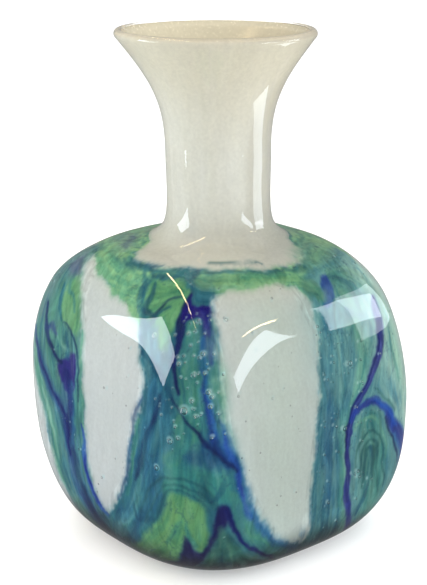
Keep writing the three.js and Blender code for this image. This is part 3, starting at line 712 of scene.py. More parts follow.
def left_column(c):
    c.fill([(-127, 50), (-124, 42), (-118, 37.5), (-112, 34), (-107.4, 28), (-104.6, 20), (-103, 10),
            (-102, 0), (-101.2, -12), (-99.6, -22), (-96.5, -30), (-91.5, -35.5), (-86, -37), (-78, -36),
            (-70, -40), (-66, -60), (-124, -60), (-116, -46), (-119, -36), (-122, -25), (-124.5, -15),
            (-129, -7), (-134, 3), (-137, 16), (-139, 30), (-139, 46)], (84, 138, 132), 1, 2.4, 1.4, seed=1)
    inner = [(-120, 42), (-110, 30), (-106, 18), (-104, 4), (-104, -10), (-102, -22), (-97, -34), (-84, -44)]
    outer = [(-136, 42), (-136, 26), (-134, 12), (-129, -2), (-123, -14), (-120, -26), (-114, -38),
             (-104, -50)]
    c.streaks(inner, outer, 60, (SEA, TEAL, BLUE_TEAL, PALE_TEAL, GREEN, DEEP_TEAL), 0.9, 0.5, seed=400)
    c.stroke([(-133, 44, 2), (-134, 34, 3), (-133, 22, 2.5)], (110, 132, 140), 0.6, 0.8, 0.3)
    c.fill([(-130, 44), (-125, 42), (-122.6, 39.5), (-127, 38), (-131, 39.5)],
           (92, 84, 134), 0.6, 1.6, 1.0, seed=9)
    # Sea-green outer edge that fades into the opal.
    c.stroke([(-133.5, 9, 1.5), (-129.5, 1, 2.4), (-125.6, -7, 2.5), (-122, -15, 2), (-120.5, -24, 1.8),
              (-118, -32, 1.8)], (84, 152, 124), 0.85, 0.8, 0.3, PALE_GREEN, 4)
    c.stroke([(-118.6, -10, 1), (-116.4, -18, 1.6), (-115.4, -27, 1.8), (-112, -36, 1.8)],
             (98, 154, 144), 0.7, 0.7, 0.4, TEAL)
    # Lime patch with its curls.
    c.fill([(-122.5, 38.5), (-116, 37.5), (-111.4, 33), (-108.4, 27.5), (-110.6, 24), (-116.4, 24.6),
            (-120.6, 26.5), (-123.4, 32)], (108, 164, 116), 0.95, 1.4, 1.2, seed=2)
    c.stroke([(-124, 37, 0.5), (-120.6, 33.6, 0.7), (-117, 34.2, 0.6), (-113.6, 31, 0.4)],
             (70, 132, 130), 0.8, 0.6, seed=2)
    c.stroke([(-126, 34, 0.8), (-123, 28.5, 1.1), (-119.4, 25.4, 0.7)], TEAL, 0.85, 0.6)
    c.stroke([(-106.6, 27, 0.5), (-104.6, 18, 1), (-103.6, 8, 1.1), (-103, -2, 1.1), (-102.6, -10, 0.8)],
             (104, 164, 128), 0.85, 0.8, 0.25, SEA)
    # The navy loop and the patch it closes on.
    c.stroke([(-117.6, 24.4, 0.25), (-112.6, 23.6, 0.5), (-108.4, 20.4, 0.6), (-106, 15, 0.6),
              (-105.2, 8, 0.5), (-105.6, 0, 0.3)], INK, 0.85, 0.5, 0.1, DEEP_TEAL)
    c.stroke([(-108.6, 17.5, 0.8), (-107.4, 12, 1), (-107, 5, 0.9)], PALE_TEAL, 0.5, 0.7, 0.3)
    c.fill([(-117.4, 10.5), (-113, 13.5), (-110.4, 17.8), (-107.8, 16.6), (-107.4, 10), (-108.4, 3.5),
            (-112.6, 2), (-116, 5)], (48, 40, 122), 0.95, 1.0, 0.8, seed=3)
    c.stroke([(-130.6, 25, 0.6), (-127.4, 19.6, 1.2), (-123.6, 15.6, 1), (-119.4, 12.4, 0.7),
              (-115, 11, 0.6)], (34, 52, 112), 0.9, 0.5, 0.15, INK)
    c.stroke([(-121, 20.5, 0.8), (-117, 17.6, 1.1), (-113.6, 17.2, 0.8)], PALE_GREEN, 0.6, 0.7, 0.3, GREEN)
    c.stroke([(-126, 20, 0.8), (-123.4, 21, 1.1), (-120.6, 19.4, 0.7)], (50, 66, 132), 0.7, 0.7)
    # The long cobalt trail, from the far side down to the foot.
    c.stroke([(-137, 15, 0.8), (-132, 11, 1.5), (-126.6, 6, 2.2), (-121.4, -0.5, 2.6), (-116, -6, 2.4),
              (-112.6, -13, 2.1), (-111, -21, 1.9), (-109.4, -29, 2), (-105, -37, 2.6), (-97, -45, 3)],
             (40, 62, 130), 0.95, 0.6, 0.25, BLUE_TEAL, 5)
    c.stroke([(-133, 12, 0.4), (-127, 6.6, 0.7), (-121, 0, 0.8), (-115.4, -6, 0.8), (-111.6, -13, 0.7),
              (-110.4, -22, 0.5)], NAVY, 0.8, 0.6, 0.3)
    c.stroke([(-110, 6, 1.4), (-110.4, -2, 1.9), (-109.4, -10, 1.6), (-108, -18, 1)],
             (38, 46, 122), 0.9, 0.6, 0.25, BLUE_TEAL)
    c.stroke([(-112, 8, 2.2), (-113, 0, 3), (-112.5, -8, 2.6), (-111, -16, 1.8)],
             (36, 64, 122), 0.6, 0.8, 0.3, NAVY, 6)
    c.stroke([(-108, -20, 1.6), (-105.5, -30, 2.2), (-99, -39, 2.6), (-90, -46, 3)],
             (40, 78, 112), 0.7, 0.8, 0.3, NAVY, 6)
    c.stroke([(-115, 4, 0.8), (-114.6, -1, 1.3), (-113.6, -6, 0.8)], (72, 130, 150), 0.6, 0.7, 0.4)
    # Bright blue edge against the opal.
    c.stroke([(-103.6, -9, 0.3), (-101.8, -15, 1), (-100.9, -21, 1.1), (-100, -26, 0.9), (-96.6, -32, 1),
              (-91, -36.8, 1), (-85, -38.6, 0.8)], BRIGHT_BLUE, 0.95, 0.5, 0.3, COBALT, 3)
    c.stroke([(-105.6, -14, 0.6), (-104.6, -22, 0.9), (-102.4, -30, 0.9), (-96.6, -37, 1)],
             (70, 124, 150), 0.75, 0.6, 0.3)
    c.stroke([(-104, -32, 1), (-98, -39, 2.4), (-88, -42.5, 3), (-78, -43, 2.6)],
             (34, 58, 96), 0.85, 0.7, 0.3, DEEP_TEAL)


def right_column(c):
    c.fill([(6, 50), (5.5, 42), (4.6, 33), (2.8, 22), (0.8, 9), (-1, -4), (-2.3, -18), (-4.4, -30),
            (-2.6, -40), (-8, -50), (-8, -60), (60, -60), (54, -40), (50, -24), (47, -14), (44, -4),
            (42.5, 8), (42, 20), (43, 34), (48, 50)], (80, 136, 142), 1, 1.3, 0.9, seed=1)
    left_edge = [(6.5, 42), (5, 32), (3.4, 21), (1.4, 8), (-0.4, -6), (-1.6, -20), (-3, -32), (0, -48)]
    band = [(17, 32), (14, 22), (12, 10), (11, -2), (11.5, -14), (12, -26), (13, -38), (16, -50)]
    seam = [(23, 30), (20, 20), (17, 10), (14, 0), (13.5, -12), (13, -24), (14.6, -36), (20, -48)]
    edge = [(40, 34), (38, 24), (34, 14), (28, 8), (20, 0), (17, -14), (17.4, -28), (22, -42)]
    c.streaks(left_edge, band, 70, (BLUE_TEAL, (62, 116, 146), TEAL, PALE_TEAL, DEEP_TEAL), 0.55, 0.6,
              seed=500)
    c.streaks(band, seam, 30, (SEA, TEAL, (62, 116, 146), PALE_TEAL), 0.6, 0.55, seed=520)
    c.stroke([(5.6, 14, 0.6), (6, 4, 1.4), (5, -8, 2), (5.4, -20, 2), (6, -32, 2)],
             (48, 100, 138), 0.6, 0.8, 0.5, seed=4)
    c.stroke([(6, 33, 0.5), (12, 31, 0.7), (18, 28.6, 0.7), (23, 27, 0.4)], DEEP_TEAL, 0.6, 0.7, 0.3)
    c.stroke([(14, -1, 1.2), (12.6, -12, 1.4), (12.4, -24, 1.3), (13, -34, 1)], SEA, 0.75, 0.7, 0.3, GREEN)
    # The lime ribbon that narrows on its way down.
    c.streaks(seam, edge, 36, (SEA, GREEN, PALE_TEAL, PALE_GREEN), 0.7, 0.5, seed=540)
    c.stroke([(25, 29, 2.4), (26, 20, 3), (23.6, 11, 2.6), (19.4, 3, 1.7), (15.8, -5, 1.1), (14.4, -14, 0.6)],
             (106, 166, 128), 0.9, 0.7, 0.25, GREEN, 3)
    c.stroke([(23, 28, 0.6), (20.6, 23, 0.8), (17.6, 14, 0.7), (14.6, 5, 0.8), (11, -2, 0.6)],
             DEEP_TEAL, 0.65, 0.7, 0.2)
    # Folds at the shoulder, with the cobalt crest.
    c.fill([(22, 47), (30, 47), (38, 44), (41, 36), (39, 30), (34, 30), (28, 33), (22, 38)],
           (96, 156, 124), 0.85, 1.6, 1.2, seed=2)
    c.stroke([(22, 46, 0.5), (27, 44, 0.8), (29.6, 39, 1), (30, 33, 0.8)], (44, 92, 100), 0.85, 0.6, 0.2)
    c.stroke([(30, 45.6, 0.4), (34.6, 44, 0.6), (37.6, 40, 0.6), (39, 35, 0.4)], (62, 112, 112), 0.8, 0.6)
    c.stroke([(32, 41, 0.4), (34, 37, 0.7), (34.6, 33, 0.5)], DEEP_TEAL, 0.6, 0.7)
    c.fill([(22, 47.4), (17, 46.6), (13.6, 43), (12.6, 40), (15, 38.4), (19, 39.6), (21.6, 43)],
           COBALT, 0.95, 0.8, 0.6, seed=3)
    # Paler towards the right edge, before the trails.
    c.stroke([(16, 34, 14), (22, 8, 16), (24, -24, 14)], (140, 196, 194), 0.44, 0.9)
    c.stroke([(41, 38, 8), (42, 16, 9), (45, -2, 8), (49, -16, 5)], (182, 222, 210), 0.88, 0.9, 0.3)
    # The S-shaped trail.
    trail = [(39, 31, 1.2), (37.4, 24, 1.7), (35, 18, 1.8), (31, 12, 1.7), (26, 6.4, 1.5), (20.8, 1, 1.3),
             (17.2, -6, 1.25), (15.6, -16, 1.25), (15.8, -26, 1.4), (17.2, -34, 1.4), (21.4, -41, 1.2),
             (28, -47, 1)]
    c.stroke(trail, (38, 44, 124), 0.97, 0.4, 0.1, (52, 58, 142), 3)
    c.stroke([(a + 0.2, l, w * 0.35) for a, l, w in trail[2:8]], (92, 110, 176), 0.5, 0.8, 0.3)
    c.stroke([(a - 0.9, l + 0.3, w * 0.28) for a, l, w in trail[1:9]], NAVY, 0.6, 0.7)
    # The arch beside it, and the folds nested inside.
    c.stroke([(26, -8, 5), (29, -18, 5.5), (30, -28, 5.5), (32, -38, 5)],
             (88, 150, 124), 0.75, 0.7, 0.4, SEA, 6)
    c.stroke([(18.6, -10, 0.3), (21, -6.6, 0.6), (25, -5.4, 0.7), (29.4, -7, 0.6), (33, -13, 0.5),
              (35.6, -22, 0.4)], (120, 180, 148), 0.6, 0.7)
    for inset, width in ((0, 0.5), (3.2, 0.5), (5.6, 0.7)):
        c.stroke([(19.6 + inset * 0.7, -26 - inset * 0.6, 0.2), (21 + inset * 0.6, -17 - inset * 0.9, width),
                  (25.6, -11.4 - inset, width), (30.2 - inset * 0.3, -13.4 - inset, width),
                  (33.6 - inset * 0.8, -21 - inset, width), (36 - inset, -31 - inset * 0.6, 0.3)],
                 (46, 98, 100), 0.7, 0.6, 0.2, seed=int(inset))
    c.stroke([(27, -17, 0.5), (27.4, -23, 1.1), (26, -30, 1.2), (23.6, -38, 1.1)],
             (50, 104, 112), 0.8, 0.7, 0.3, DEEP_TEAL)
    arch = [(17.6, -5, 0.8), (20, -2.2, 1), (25, -0.4, 1.2), (30, -1.2, 1.4), (34, -5, 1.6), (38, -10.4, 1.9),
            (42, -15, 2.3), (46, -19.4, 2.6), (50, -25, 2), (52, -33, 1)]
    c.stroke(arch, (42, 54, 146), 0.96, 0.45, 0.15, BRIGHT_BLUE, 3)
    c.stroke([(34, -7.6, 0.3), (37.4, -14, 0.5), (40.4, -19.6, 0.5), (44, -25, 0.4)], INK, 0.8, 0.5)
    c.stroke([(39, -14.6, 0.8), (43, -20.6, 1.3), (46.6, -27, 1.2)], (66, 120, 170), 0.7, 0.7, 0.4)
    c.stroke([(29, 3.6, 0.2), (32, 1.4, 0.5), (36, -3, 0.6), (39, -7, 0.5)], (60, 116, 116), 0.7, 0.6)
    # Outside it the colour thins to pale green and then opal.
    c.stroke([(43, 30, 2), (42.4, 16, 3.0), (43.4, 4, 3.0), (46.6, -6, 2.4)],
             (160, 208, 190), 0.6, 0.9, 0.3, PALE_GREEN, 4)
    c.stroke([(41.6, 20, 0.3), (40.6, 12, 0.6), (41.4, 2, 0.4)], SEA, 0.5, 0.8)


def collar(canvas):
    """The band round the shoulder: green, limier below, with teal wisps along its upper edge."""
    upper = by_azimuth([(-180, 65), (-150, 66), (-130, 67), (-118, 65.5), (-109, 61.5), (-102, 57),
                        (-96, 54.8), (-84, 54.4), (-70, 54.2), (-45, 54.6), (-25, 55), (-8, 55.2), (8, 54.8),
                        (18, 54.6), (26, 57.5), (34, 62), (44, 65.5), (80, 66), (120, 64), (150, 64),
                        (180, 65)], canvas.az)
    lower = by_azimuth([(-180, 46), (-135, 47), (-127, 46), (-110, 44.8), (-92, 42.8), (-84, 40.8),
                        (-76, 36), (-68, 34), (-50, 42), (-44, 44.4), (-34, 46.6), (-18, 48.8), (-7, 49.3),
                        (0, 47.6), (6, 42), (16, 38), (40, 40), (56, 45), (80, 47), (104, 42), (130, 40),
                        (156, 44), (180, 46)], canvas.az)
    rag = 1.1 * (layered_noise(canvas.az * 0.35, canvas.lat * 0.5, seed=61, octaves=4, period=126) - 0.5) * 2
    cover = ramp((canvas.lat - lower + rag) / 1.2 + 0.5) * ramp((upper - canvas.lat + rag * 0.55) / 2.4 + 0.5)
    drift = 5 * layered_noise(canvas.az / 14, canvas.lat / 9, seed=64, octaves=3, period=26)
    wisp = layered_noise(canvas.az / 9, (canvas.lat + drift) * 0.75, seed=63, octaves=4, period=40)
    mix = ramp((wisp - 0.38) / 0.3)[..., None]
    colour = mixed(COLLAR_GREEN, COLLAR_LIME, mix)
    high = ramp((canvas.lat - upper + 4.5) / 4)[..., None] * ramp((0.62 - wisp) / 0.2)[..., None]
    colour = colour * (1 - 0.7 * high) + np.asarray(TEAL, float) * 0.7 * high  # teal wisps
    from_back = np.abs(np.mod(canvas.az - 140 + 180, 360) - 180)
    far = ramp(from_back / 40)[..., None]
    colour = colour * far + (0.6 * colour + 0.4 * np.asarray(SEA, float)) * (1 - far)
    canvas.rgb[:] = mixed(canvas.rgb, colour, cover[..., None])
    canvas.guide_round((44, 50, 55, 60, 65), 1.5)


def collar_details(canvas):
    canvas.stroke([(-105, 53.4, 0.3), (-96, 53, 0.8), (-86, 53.4, 1.2), (-78, 54.6, 0.8), (-72, 55.6, 0.3)],
                  DEEP_TEAL, 0.6, 0.8, 0.3)
    canvas.stroke([(-84, 53, 0.6), (-79, 50, 0.9), (-75, 46, 0.8), (-73, 42, 0.5)], TEAL, 0.7, 0.7, 0.3)
    canvas.stroke([(-81, 54, 0.3), (-74, 51.6, 0.6), (-66, 51, 0.6), (-58, 51.6, 0.3)], DEEP_TEAL, 0.6, 0.7)
    canvas.fill([(-62, 54.4), (-56, 54.6), (-51, 54), (-50.4, 50), (-53, 47.4), (-55, 50), (-60, 51)],
                TEAL, 0.8, 1.4, 1.2, seed=71)
    canvas.stroke([(-51, 54, 0.8), (-51.4, 50, 0.6), (-51, 46, 0.3)], DEEP_TEAL, 0.7, 0.6)
    canvas.stroke([(-49, 50, 1.6), (-44, 48.4, 2), (-38, 49.6, 2), (-28, 51.4, 1.8), (-14, 52.2, 1.6),
                   (0, 51, 2), (8, 47, 2.4), (13, 43, 2)], (108, 160, 112), 0.85, 0.8, 0.3, GREEN, 3)
    canvas.stroke([(-48, 53.6, 0.2), (-38, 54, 0.5), (-22, 54, 0.4), (-4, 53.8, 0.6), (6, 53, 1.1),
                   (14, 53, 1.3), (24, 51.6, 0.6)], (54, 108, 112), 0.65, 0.7, 0.3)
    canvas.stroke([(-48, 58.2, 0.3), (-42, 59.4, 0.6), (-35, 58.8, 0.6), (-30, 59.2, 0.5), (-20, 58.7, 0.4),
                   (-13, 58.5, 0.2)], (52, 96, 104), 0.95, 0.5, 0.2)
    canvas.fill([(12, 56), (22, 60), (34, 61), (46, 60), (46, 50), (30, 48), (18, 50)],
                (128, 176, 146), 0.6, 3, 2, seed=72)
    canvas.stroke([(18, 55, 0.5), (26, 57, 1), (36, 57.4, 1), (44, 56, 0.6)], (88, 138, 132), 0.5, 0.9, 0.4)
    canvas.fill([(-136, 61), (-124, 60.4), (-112, 58), (-112, 55), (-126, 54), (-140, 52), (-150, 56)],
                (120, 152, 146), 0.7, 2.5, 1.6, seed=73)
    canvas.stroke([(-138, 58, 0.6), (-130, 58.4, 1.3), (-122, 57, 1.2), (-114, 56.4, 0.5)],
                  (66, 92, 124), 0.75, 0.8, 0.4)
    canvas.stroke([(-120, 52, 0.8), (-108, 52.4, 0.7), (-98, 51.4, 0.5)], (88, 140, 128), 0.6, 0.8, 0.3)


def by_azimuth(table, azimuth):
    """A smooth edge all round the body from given (azimuth, value) rows."""
    rows = sorted(table)
    a = np.array([r[0] for r in rows], float)
    v = np.array([r[1] for r in rows], float)
    i = np.clip(np.searchsorted(a, azimuth, side="right") - 1, 0, len(a) - 2)
    return v[i] + (v[i + 1] - v[i]) * ramp((azimuth - a[i]) / (a[i + 1] - a[i]))


def foot_pool(canvas):
    """Colour gathers under the body, up to a ragged edge; the darkening towards the foot is painted shade,
    laid on afterwards.
    """
    edge = by_azimuth([(-180, -44), (-140, -45), (-122, -46), (-100, -44), (-84, -41), (-50, -44),
                       (-20, -45), (-6, -46), (10, -45), (48, -45), (70, -46), (110, -43), (150, -43),
                       (180, -44)], canvas.az)
    rag = 1.4 * (layered_noise(canvas.az * 0.3, canvas.lat * 0.5, seed=81, octaves=4, period=108) - 0.5) * 2
    drift = 12 * layered_noise(canvas.az / 20, canvas.lat / 14, seed=83, octaves=2, period=18)
    swirl = layered_noise(canvas.az / 12, (canvas.lat + drift) / 5, seed=82, octaves=4, period=30)
    mix = ramp((swirl - 0.35) / 0.35)[..., None]
    colour = mixed(DEEP_TEAL, SEA, mix)
    under = ramp((edge - canvas.lat + rag) / 1.6 + 0.5)
    canvas.rgb[:] = mixed(canvas.rgb, colour, under[..., None])
    canvas.guide_round((-43, -50, -58, -68), 1.0)


# Painted shade: darkens the colours below latitude -35, standing in for the dark reflection and contact shade
# low on the body.
def paint_foot_shade(canvas):
    dark = ramp((-35 - canvas.lat) / 12)[..., None]
    canvas.rgb *= 1 - 0.58 * dark


def painted():
    canvas = Canvas()
    ground(canvas)
    bare = canvas.rgb.copy()
    collar(canvas)
    foot_pool(canvas)
    front, left, right = Column(canvas), Column(canvas), Column(canvas)
    back = Column(canvas, shift=182, mirror_about=-48, seed=1000)
    left_column(left)
    right_column(right)
    front_column(front)
    front_column(back)
    collar_details(canvas)
    paint_foot_shade(canvas)
    canvas.warp(size=6, amount=2.2, seed=401)
    canvas.warp(size=2, amount=0.7, seed=431)
    canvas.soften(amount=0.5)
    canvas.halo(bare, reach=0.75, strength=0.9)
    canvas.marble(bare)
    canvas.glint_spots(bubbles())
    return canvas


def bubbles():
    """(azimuth, latitude, radius, height above the core) of the seed bubbles, in degrees and mm."""
    rng = np.random.default_rng(7)
    rows = [(-49.8, 10.9, 1.3, 2.2), (-62.7, 32, 1.15, 2.0), (-54, 0.8, 1.0, 2.2), (-59, -10, 0.95, 2.0),
            (17, 17, 1.0, 2.2), (12.7, -7, 0.9, 2.0), (-45, 27, 0.8, 2), (-47.5, 21, 0.7, 2),
            (-52, 24, 0.7, 2)]
    for _ in range(64):
        rows.append((-47 + 5.5 * rng.normal(), 2 + 38 * rng.random(), 0.26 + 0.5 * rng.random() ** 2,
                     1.0 + 2.0 * rng.random()))
    for _ in range(44):
        rows.append((2 + 24 * rng.random(), -38 + 72 * rng.random(), 0.22 + 0.5 * rng.random() ** 2,
                     1.0 + 2.0 * rng.random()))
    for _ in range(230):
        rows.append((360 * rng.random() - 180, 94 * rng.random() - 44, 0.16 + 0.3 * rng.random() ** 3,
                     0.9 + 2.4 * rng.random()))
    return rows


# ---- Meshes ----
def mesh_object(name, points, faces, colours=None, materials=(), kinds=None):
    """A smooth-shaded object from points in mm. A kind is the index of a face's material."""
    mesh = bpy.data.meshes.new(name)
    mesh.from_pydata((np.asarray(points) * MM).tolist(), [], faces)
    if colours is not None:
        layer = mesh.color_attributes.new("glass_colour", "FLOAT_COLOR", "POINT")
        opaque = np.column_stack([colours, np.ones(len(colours))])
        layer.data.foreach_set("color", opaque.astype(np.float32).ravel())
    for material in materials:
        mesh.materials.append(material)
    if kinds is not None:
        mesh.polygons.foreach_set("material_index", np.asarray(kinds, np.int32))
    mesh.polygons.foreach_set("use_smooth", np.ones(len(mesh.polygons), bool))
    mesh.update()
    piece = bpy.data.objects.new(name, mesh)
    bpy.context.scene.collection.objects.link(piece)
    return piece


def ring_faces(rings, around, first=0):
    """Quads between rings of points that run anticlockwise, from the lowest ring of an outer skin up."""
    i, j = np.meshgrid(np.arange(rings - 1), np.arange(around), indexing="ij")
    following = (j + 1) % around
    corners = (i * around + j, i * around + following, (i + 1) * around + following, (i + 1) * around + j)
    return (np.stack(corners, -1).reshape(-1, 4) + first).tolist()


def closed_by_poles(grid, start, end):
    """Points and faces of a closed form swept through rings, from a start pole to an end pole."""
    rings, around = grid.shape[:2]
    points = np.vstack([start[None], grid.reshape(-1, 3), end[None]])
    faces = ring_faces(rings, around, first=1)
    last = 1 + (rings - 1) * around
    for j in range(around):
        k = (j + 1) % around
        faces.append((0, 1 + k, 1 + j))
        faces.append((last + j, last + k, len(points) - 1))
    return points, faces


AROUND = 440
RING_AZIMUTHS = np.arange(AROUND) * 2 * np.pi / AROUND - np.pi
BEAD_ARC = np.linspace(-FLARE, math.pi - FLARE, 9)


def sweep(path):
    """Rings of points for a path of (radius, z, squareness)."""
    r, z, square = (np.asarray(v, float)[:, None] for v in zip(*path))
    return spun(r, z, square, RING_AZIMUTHS[None])


def skin_path(counts, depth_at, softness=1.0):
    """The profile moved inwards by a depth that depends on its height."""
    points, normals = profile(counts)
    depth = depth_at(points[:, 1])
    inside = points - normals * depth[:, None]
    square = 2 + (squareness(points[:, 1]) - 2) * softness
    return [(max(r, 0.05), z, s) for (r, z), s in zip(inside, square)]


def bead_path(radius, angles=BEAD_ARC, shift=0.0):
    rows = []
    for angle in angles:
        r, z = on_bead(radius, angle)
        rows.append((r + shift * math.sin(FLARE), z + shift * math.cos(FLARE), 2.0))
    return rows


def disc_path(radius, z_at, count, square, outwards=True):
    """Rings across a flat or dished end."""
    shares = np.linspace(0, 1, count + 1)[1:]
    rows = [(radius * s, z_at(s), square) for s in shares]
    return rows if outwards else rows[::-1]


def at_axis(z):
    return hand_made(np.array(0.0), np.array(0.0), np.array(float(z)))


CORE_COUNTS = (62, 60, 24, 30)
CAVITY_COUNTS = (26, 26, 14, 18)
LIP_RINGS = 5  # rings of the core's lip that are as glossy as its lining
SKIRT_TOP = 103.9  # mm; above it the neck is coloured by height, not by the canvas


def neck_colours(colours, azimuth, z):
    """The neck turns creamier towards the lip, with faint streaks drawn out along it. Its foot starts from
    the skirt colour, darkened as painted shade where the neck meets the shoulder.
    """
    up = ramp((z - SKIRT_TOP) / 2.6)[:, None]
    risen = ramp((z - 102) / 24)[:, None]
    flared = ramp((z - 132) / 42)[:, None]
    cream = mixed(mixed(SHADED_SKIRT, CREAM, risen), FLARE_CREAM, flared)
    streaks = layered_noise(azimuth / 5, z / 26, seed=87, octaves=3, period=72) - 0.5
    clouds = layered_noise(azimuth / 24, z / 22, seed=91, octaves=3, period=15) - 0.5
    streaks = streaks * ramp((z - 112) / 22)
    cream = cream + streaks[:, None] * np.array([4.0, 4.0, 6.0])
    cream = cream + clouds[:, None] * np.array([6.0, 7.0, 11.0])
    return mixed(colours, linear(cream), up)


def opal_core():
    foot_z = COVER[0][1]
    outer = skin_path(CORE_COUNTS, lambda z: by_height(COVER, z))
    outer_square = outer[0][2]
    path = disc_path(outer[0][0], lambda s: foot_z, 14, outer_square)[:-1] + outer
    path += bead_path(LIP_CORE_R)[1:]
    outside = len(path)
    rabbet = [math.pi - FLARE]
    path += bead_path(BEAD_R - LINING_INSET, rabbet, 0.1)
    cavity = skin_path(CAVITY_COUNTS, lambda z: by_height(WALL, z), CAVITY_SOFTNESS)[:-1][::-1]
    floor_z = WALL[0][1]
    path += cavity + disc_path(cavity[-1][0], lambda s: floor_z, 8, cavity[-1][2], outwards=False)[1:]
    grid = sweep(path)
    points, faces = closed_by_poles(grid, at_axis(foot_z), at_axis(floor_z))
    azimuth, latitude = directions(points)
    colours = neck_colours(canvas.at(azimuth, latitude), azimuth, points[:, 2])
    inside = np.arange(len(points)) > outside * AROUND
    colours[inside] = linear(LINING)
    quads = (len(path) - 1) * AROUND
    ring_of_face = np.arange(quads) // AROUND
    lined = ring_of_face >= outside - LIP_RINGS
    kinds = np.where(lined, 1, 0).tolist() + [0, 1] * AROUND
    piece = mesh_object("opal_core_glass", points, faces, colours, (opal_skin, opal_lining), kinds)
    own(piece)


def lattice_patch(outline, step, height, rise, spread=0.0):
    """A closed sheet of glass over an outline of directions: points and faces.

    Its top swells by `height` mm over `rise` degrees from its edge. The edge lies SINK under the core's skin,
    and the middle of the underside ROOT under it.
    """
    low_az, low_lat = outline[:, 0].min() - spread - step, outline[:, 1].min() - spread - step
    high_az, high_lat = outline[:, 0].max() + spread + step, outline[:, 1].max() + spread + step
    stretch = 1 / math.cos(math.radians(min(60, abs((low_lat + high_lat) / 2))))
    az = np.arange(low_az - spread * stretch, high_az + spread * stretch + step, step * min(stretch, 1.4))
    lat = np.arange(low_lat, high_lat + step, step)
    az, lat = np.meshgrid(az, lat)
    inside = inside_distance(az, lat, outline) + spread
    whole = inside > 0
    cell = whole[:-1, :-1] & whole[1:, :-1] & whole[:-1, 1:] & whole[1:, 1:]
    rows, cols = az.shape
    index = np.arange(rows * cols).reshape(rows, cols)
    corners = (index[:-1, :-1], index[:-1, 1:], index[1:, 1:], index[1:, :-1])
    quads = np.stack([c[cell] for c in corners], 1)
    used, quads = np.unique(quads, return_inverse=True)
    quads = quads.reshape(-1, 4)
    a, l, d = az.ravel()[used], lat.ravel()[used], inside.ravel()[used]
    edges = np.vstack([quads[:, [k, (k + 1) % 4]] for k in range(4)])
    ordered = np.sort(edges, axis=1)
    _, first, counts = np.unique(ordered, axis=0, return_index=True, return_counts=True)
    rim = edges[first[counts == 1]]
    on_rim = np.unique(rim)
    for _ in range(3):
        a, l = pulled_to_edge(a, l, on_rim, outline, spread)
    d = d.copy()
    d[on_rim] = 0
    top = core_skin.at(a, l, height * ramp(d / rise) ** 0.8 - SINK)
    bottom = core_skin.at(a, l, -ROOT * ramp(0.25 + 0.75 * d / rise))
    points = np.vstack([top, bottom])
    count = len(a)
    faces = quads.tolist() + (quads[:, ::-1] + count).tolist()
    faces += [(j, i, i + count, j + count) for i, j in rim.tolist()]
    return points, faces, np.tile(a, 2), np.tile(l, 2)


def pulled_to_edge(a, l, on_rim, outline, spread):
    """Moves rim points onto the outline, so that the patch's edge is smooth."""
    small = 0.02
    ra, rl = a[on_rim], l[on_rim]
    d = inside_distance(ra, rl, outline) + spread
    slope_a = (inside_distance(ra + small, rl, outline) + spread - d) / small
    slope_l = (inside_distance(ra, rl + small, outline) + spread - d) / small
    size = np.maximum(slope_a**2 + slope_l**2, 0.2)
    a, l = a.copy(), l.copy()
    a[on_rim] -= 0.8 * d * slope_a / size
    l[on_rim] -= 0.8 * d * slope_l / size
    return a, l


def glass_patch(name, outline, material, step, height, rise, spread=0.0):
    points, faces, a, l = lattice_patch(outline, step, height, rise, spread)
    piece = mesh_object(name, points, faces, canvas.at(a, l), (material,))
    own(piece)
    return piece


def own(piece):
    """The piece rides on the body, and stands for the CAD node of its own name."""
    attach(piece, "root")
    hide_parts(piece.name.removesuffix("_glass"))


def trail_outline(points):
    path = smooth_path(points, 8)
    left, right = [], []
    for i, (azimuth, latitude, width) in enumerate(path):
        before, after = path[max(i - 1, 0)], path[min(i + 1, len(path) - 1)]
        shrink = math.cos(math.radians(latitude))
        dx, dy = (after[0] - before[0]) * shrink, after[1] - before[1]
        length = math.hypot(dx, dy)
        nx, ny = -dy / length * width / shrink, dx / length * width
        left.append((azimuth + nx, latitude + ny))
        right.append((azimuth - nx, latitude - ny))
    return np.array(left + right[::-1])


BAND_ROWS = 44


def band(name, lower, upper, slot, height, rise):
    """A closed sheet all round the body between two edges of latitude."""
    azimuth = np.degrees(RING_AZIMUTHS)
    low, high = by_azimuth(lower, azimuth), by_azimuth(upper, azimuth)
    share = np.linspace(0, 1, BAND_ROWS)[:, None]
    latitude = low * (1 - share) + high * share
    from_edge = np.minimum(latitude - low, high - latitude)
    spread_azimuth = np.broadcast_to(azimuth, latitude.shape)
    top = core_skin.at(spread_azimuth, latitude, height * ramp(from_edge / rise) - SINK)
    under = core_skin.at(spread_azimuth, latitude, -ROOT * ramp(0.25 + from_edge / rise))[::-1]
    grid = np.vstack([top, under])
    faces = ring_faces(2 * BAND_ROWS, AROUND)
    last = (2 * BAND_ROWS - 1) * AROUND
    for j in range(AROUND):
        k = (j + 1) % AROUND
        faces.append((last + j, last + k, k, j))
    latitudes = np.vstack([latitude, latitude[::-1]]).ravel()
    colours = canvas.at(np.tile(azimuth, 2 * BAND_ROWS), latitudes)
    piece = mesh_object(name, grid.reshape(-1, 3), faces, colours, (coloured_glass,))
    own(piece)


POLE = -89.4  # degrees; the foot sheet closes on the axis from here


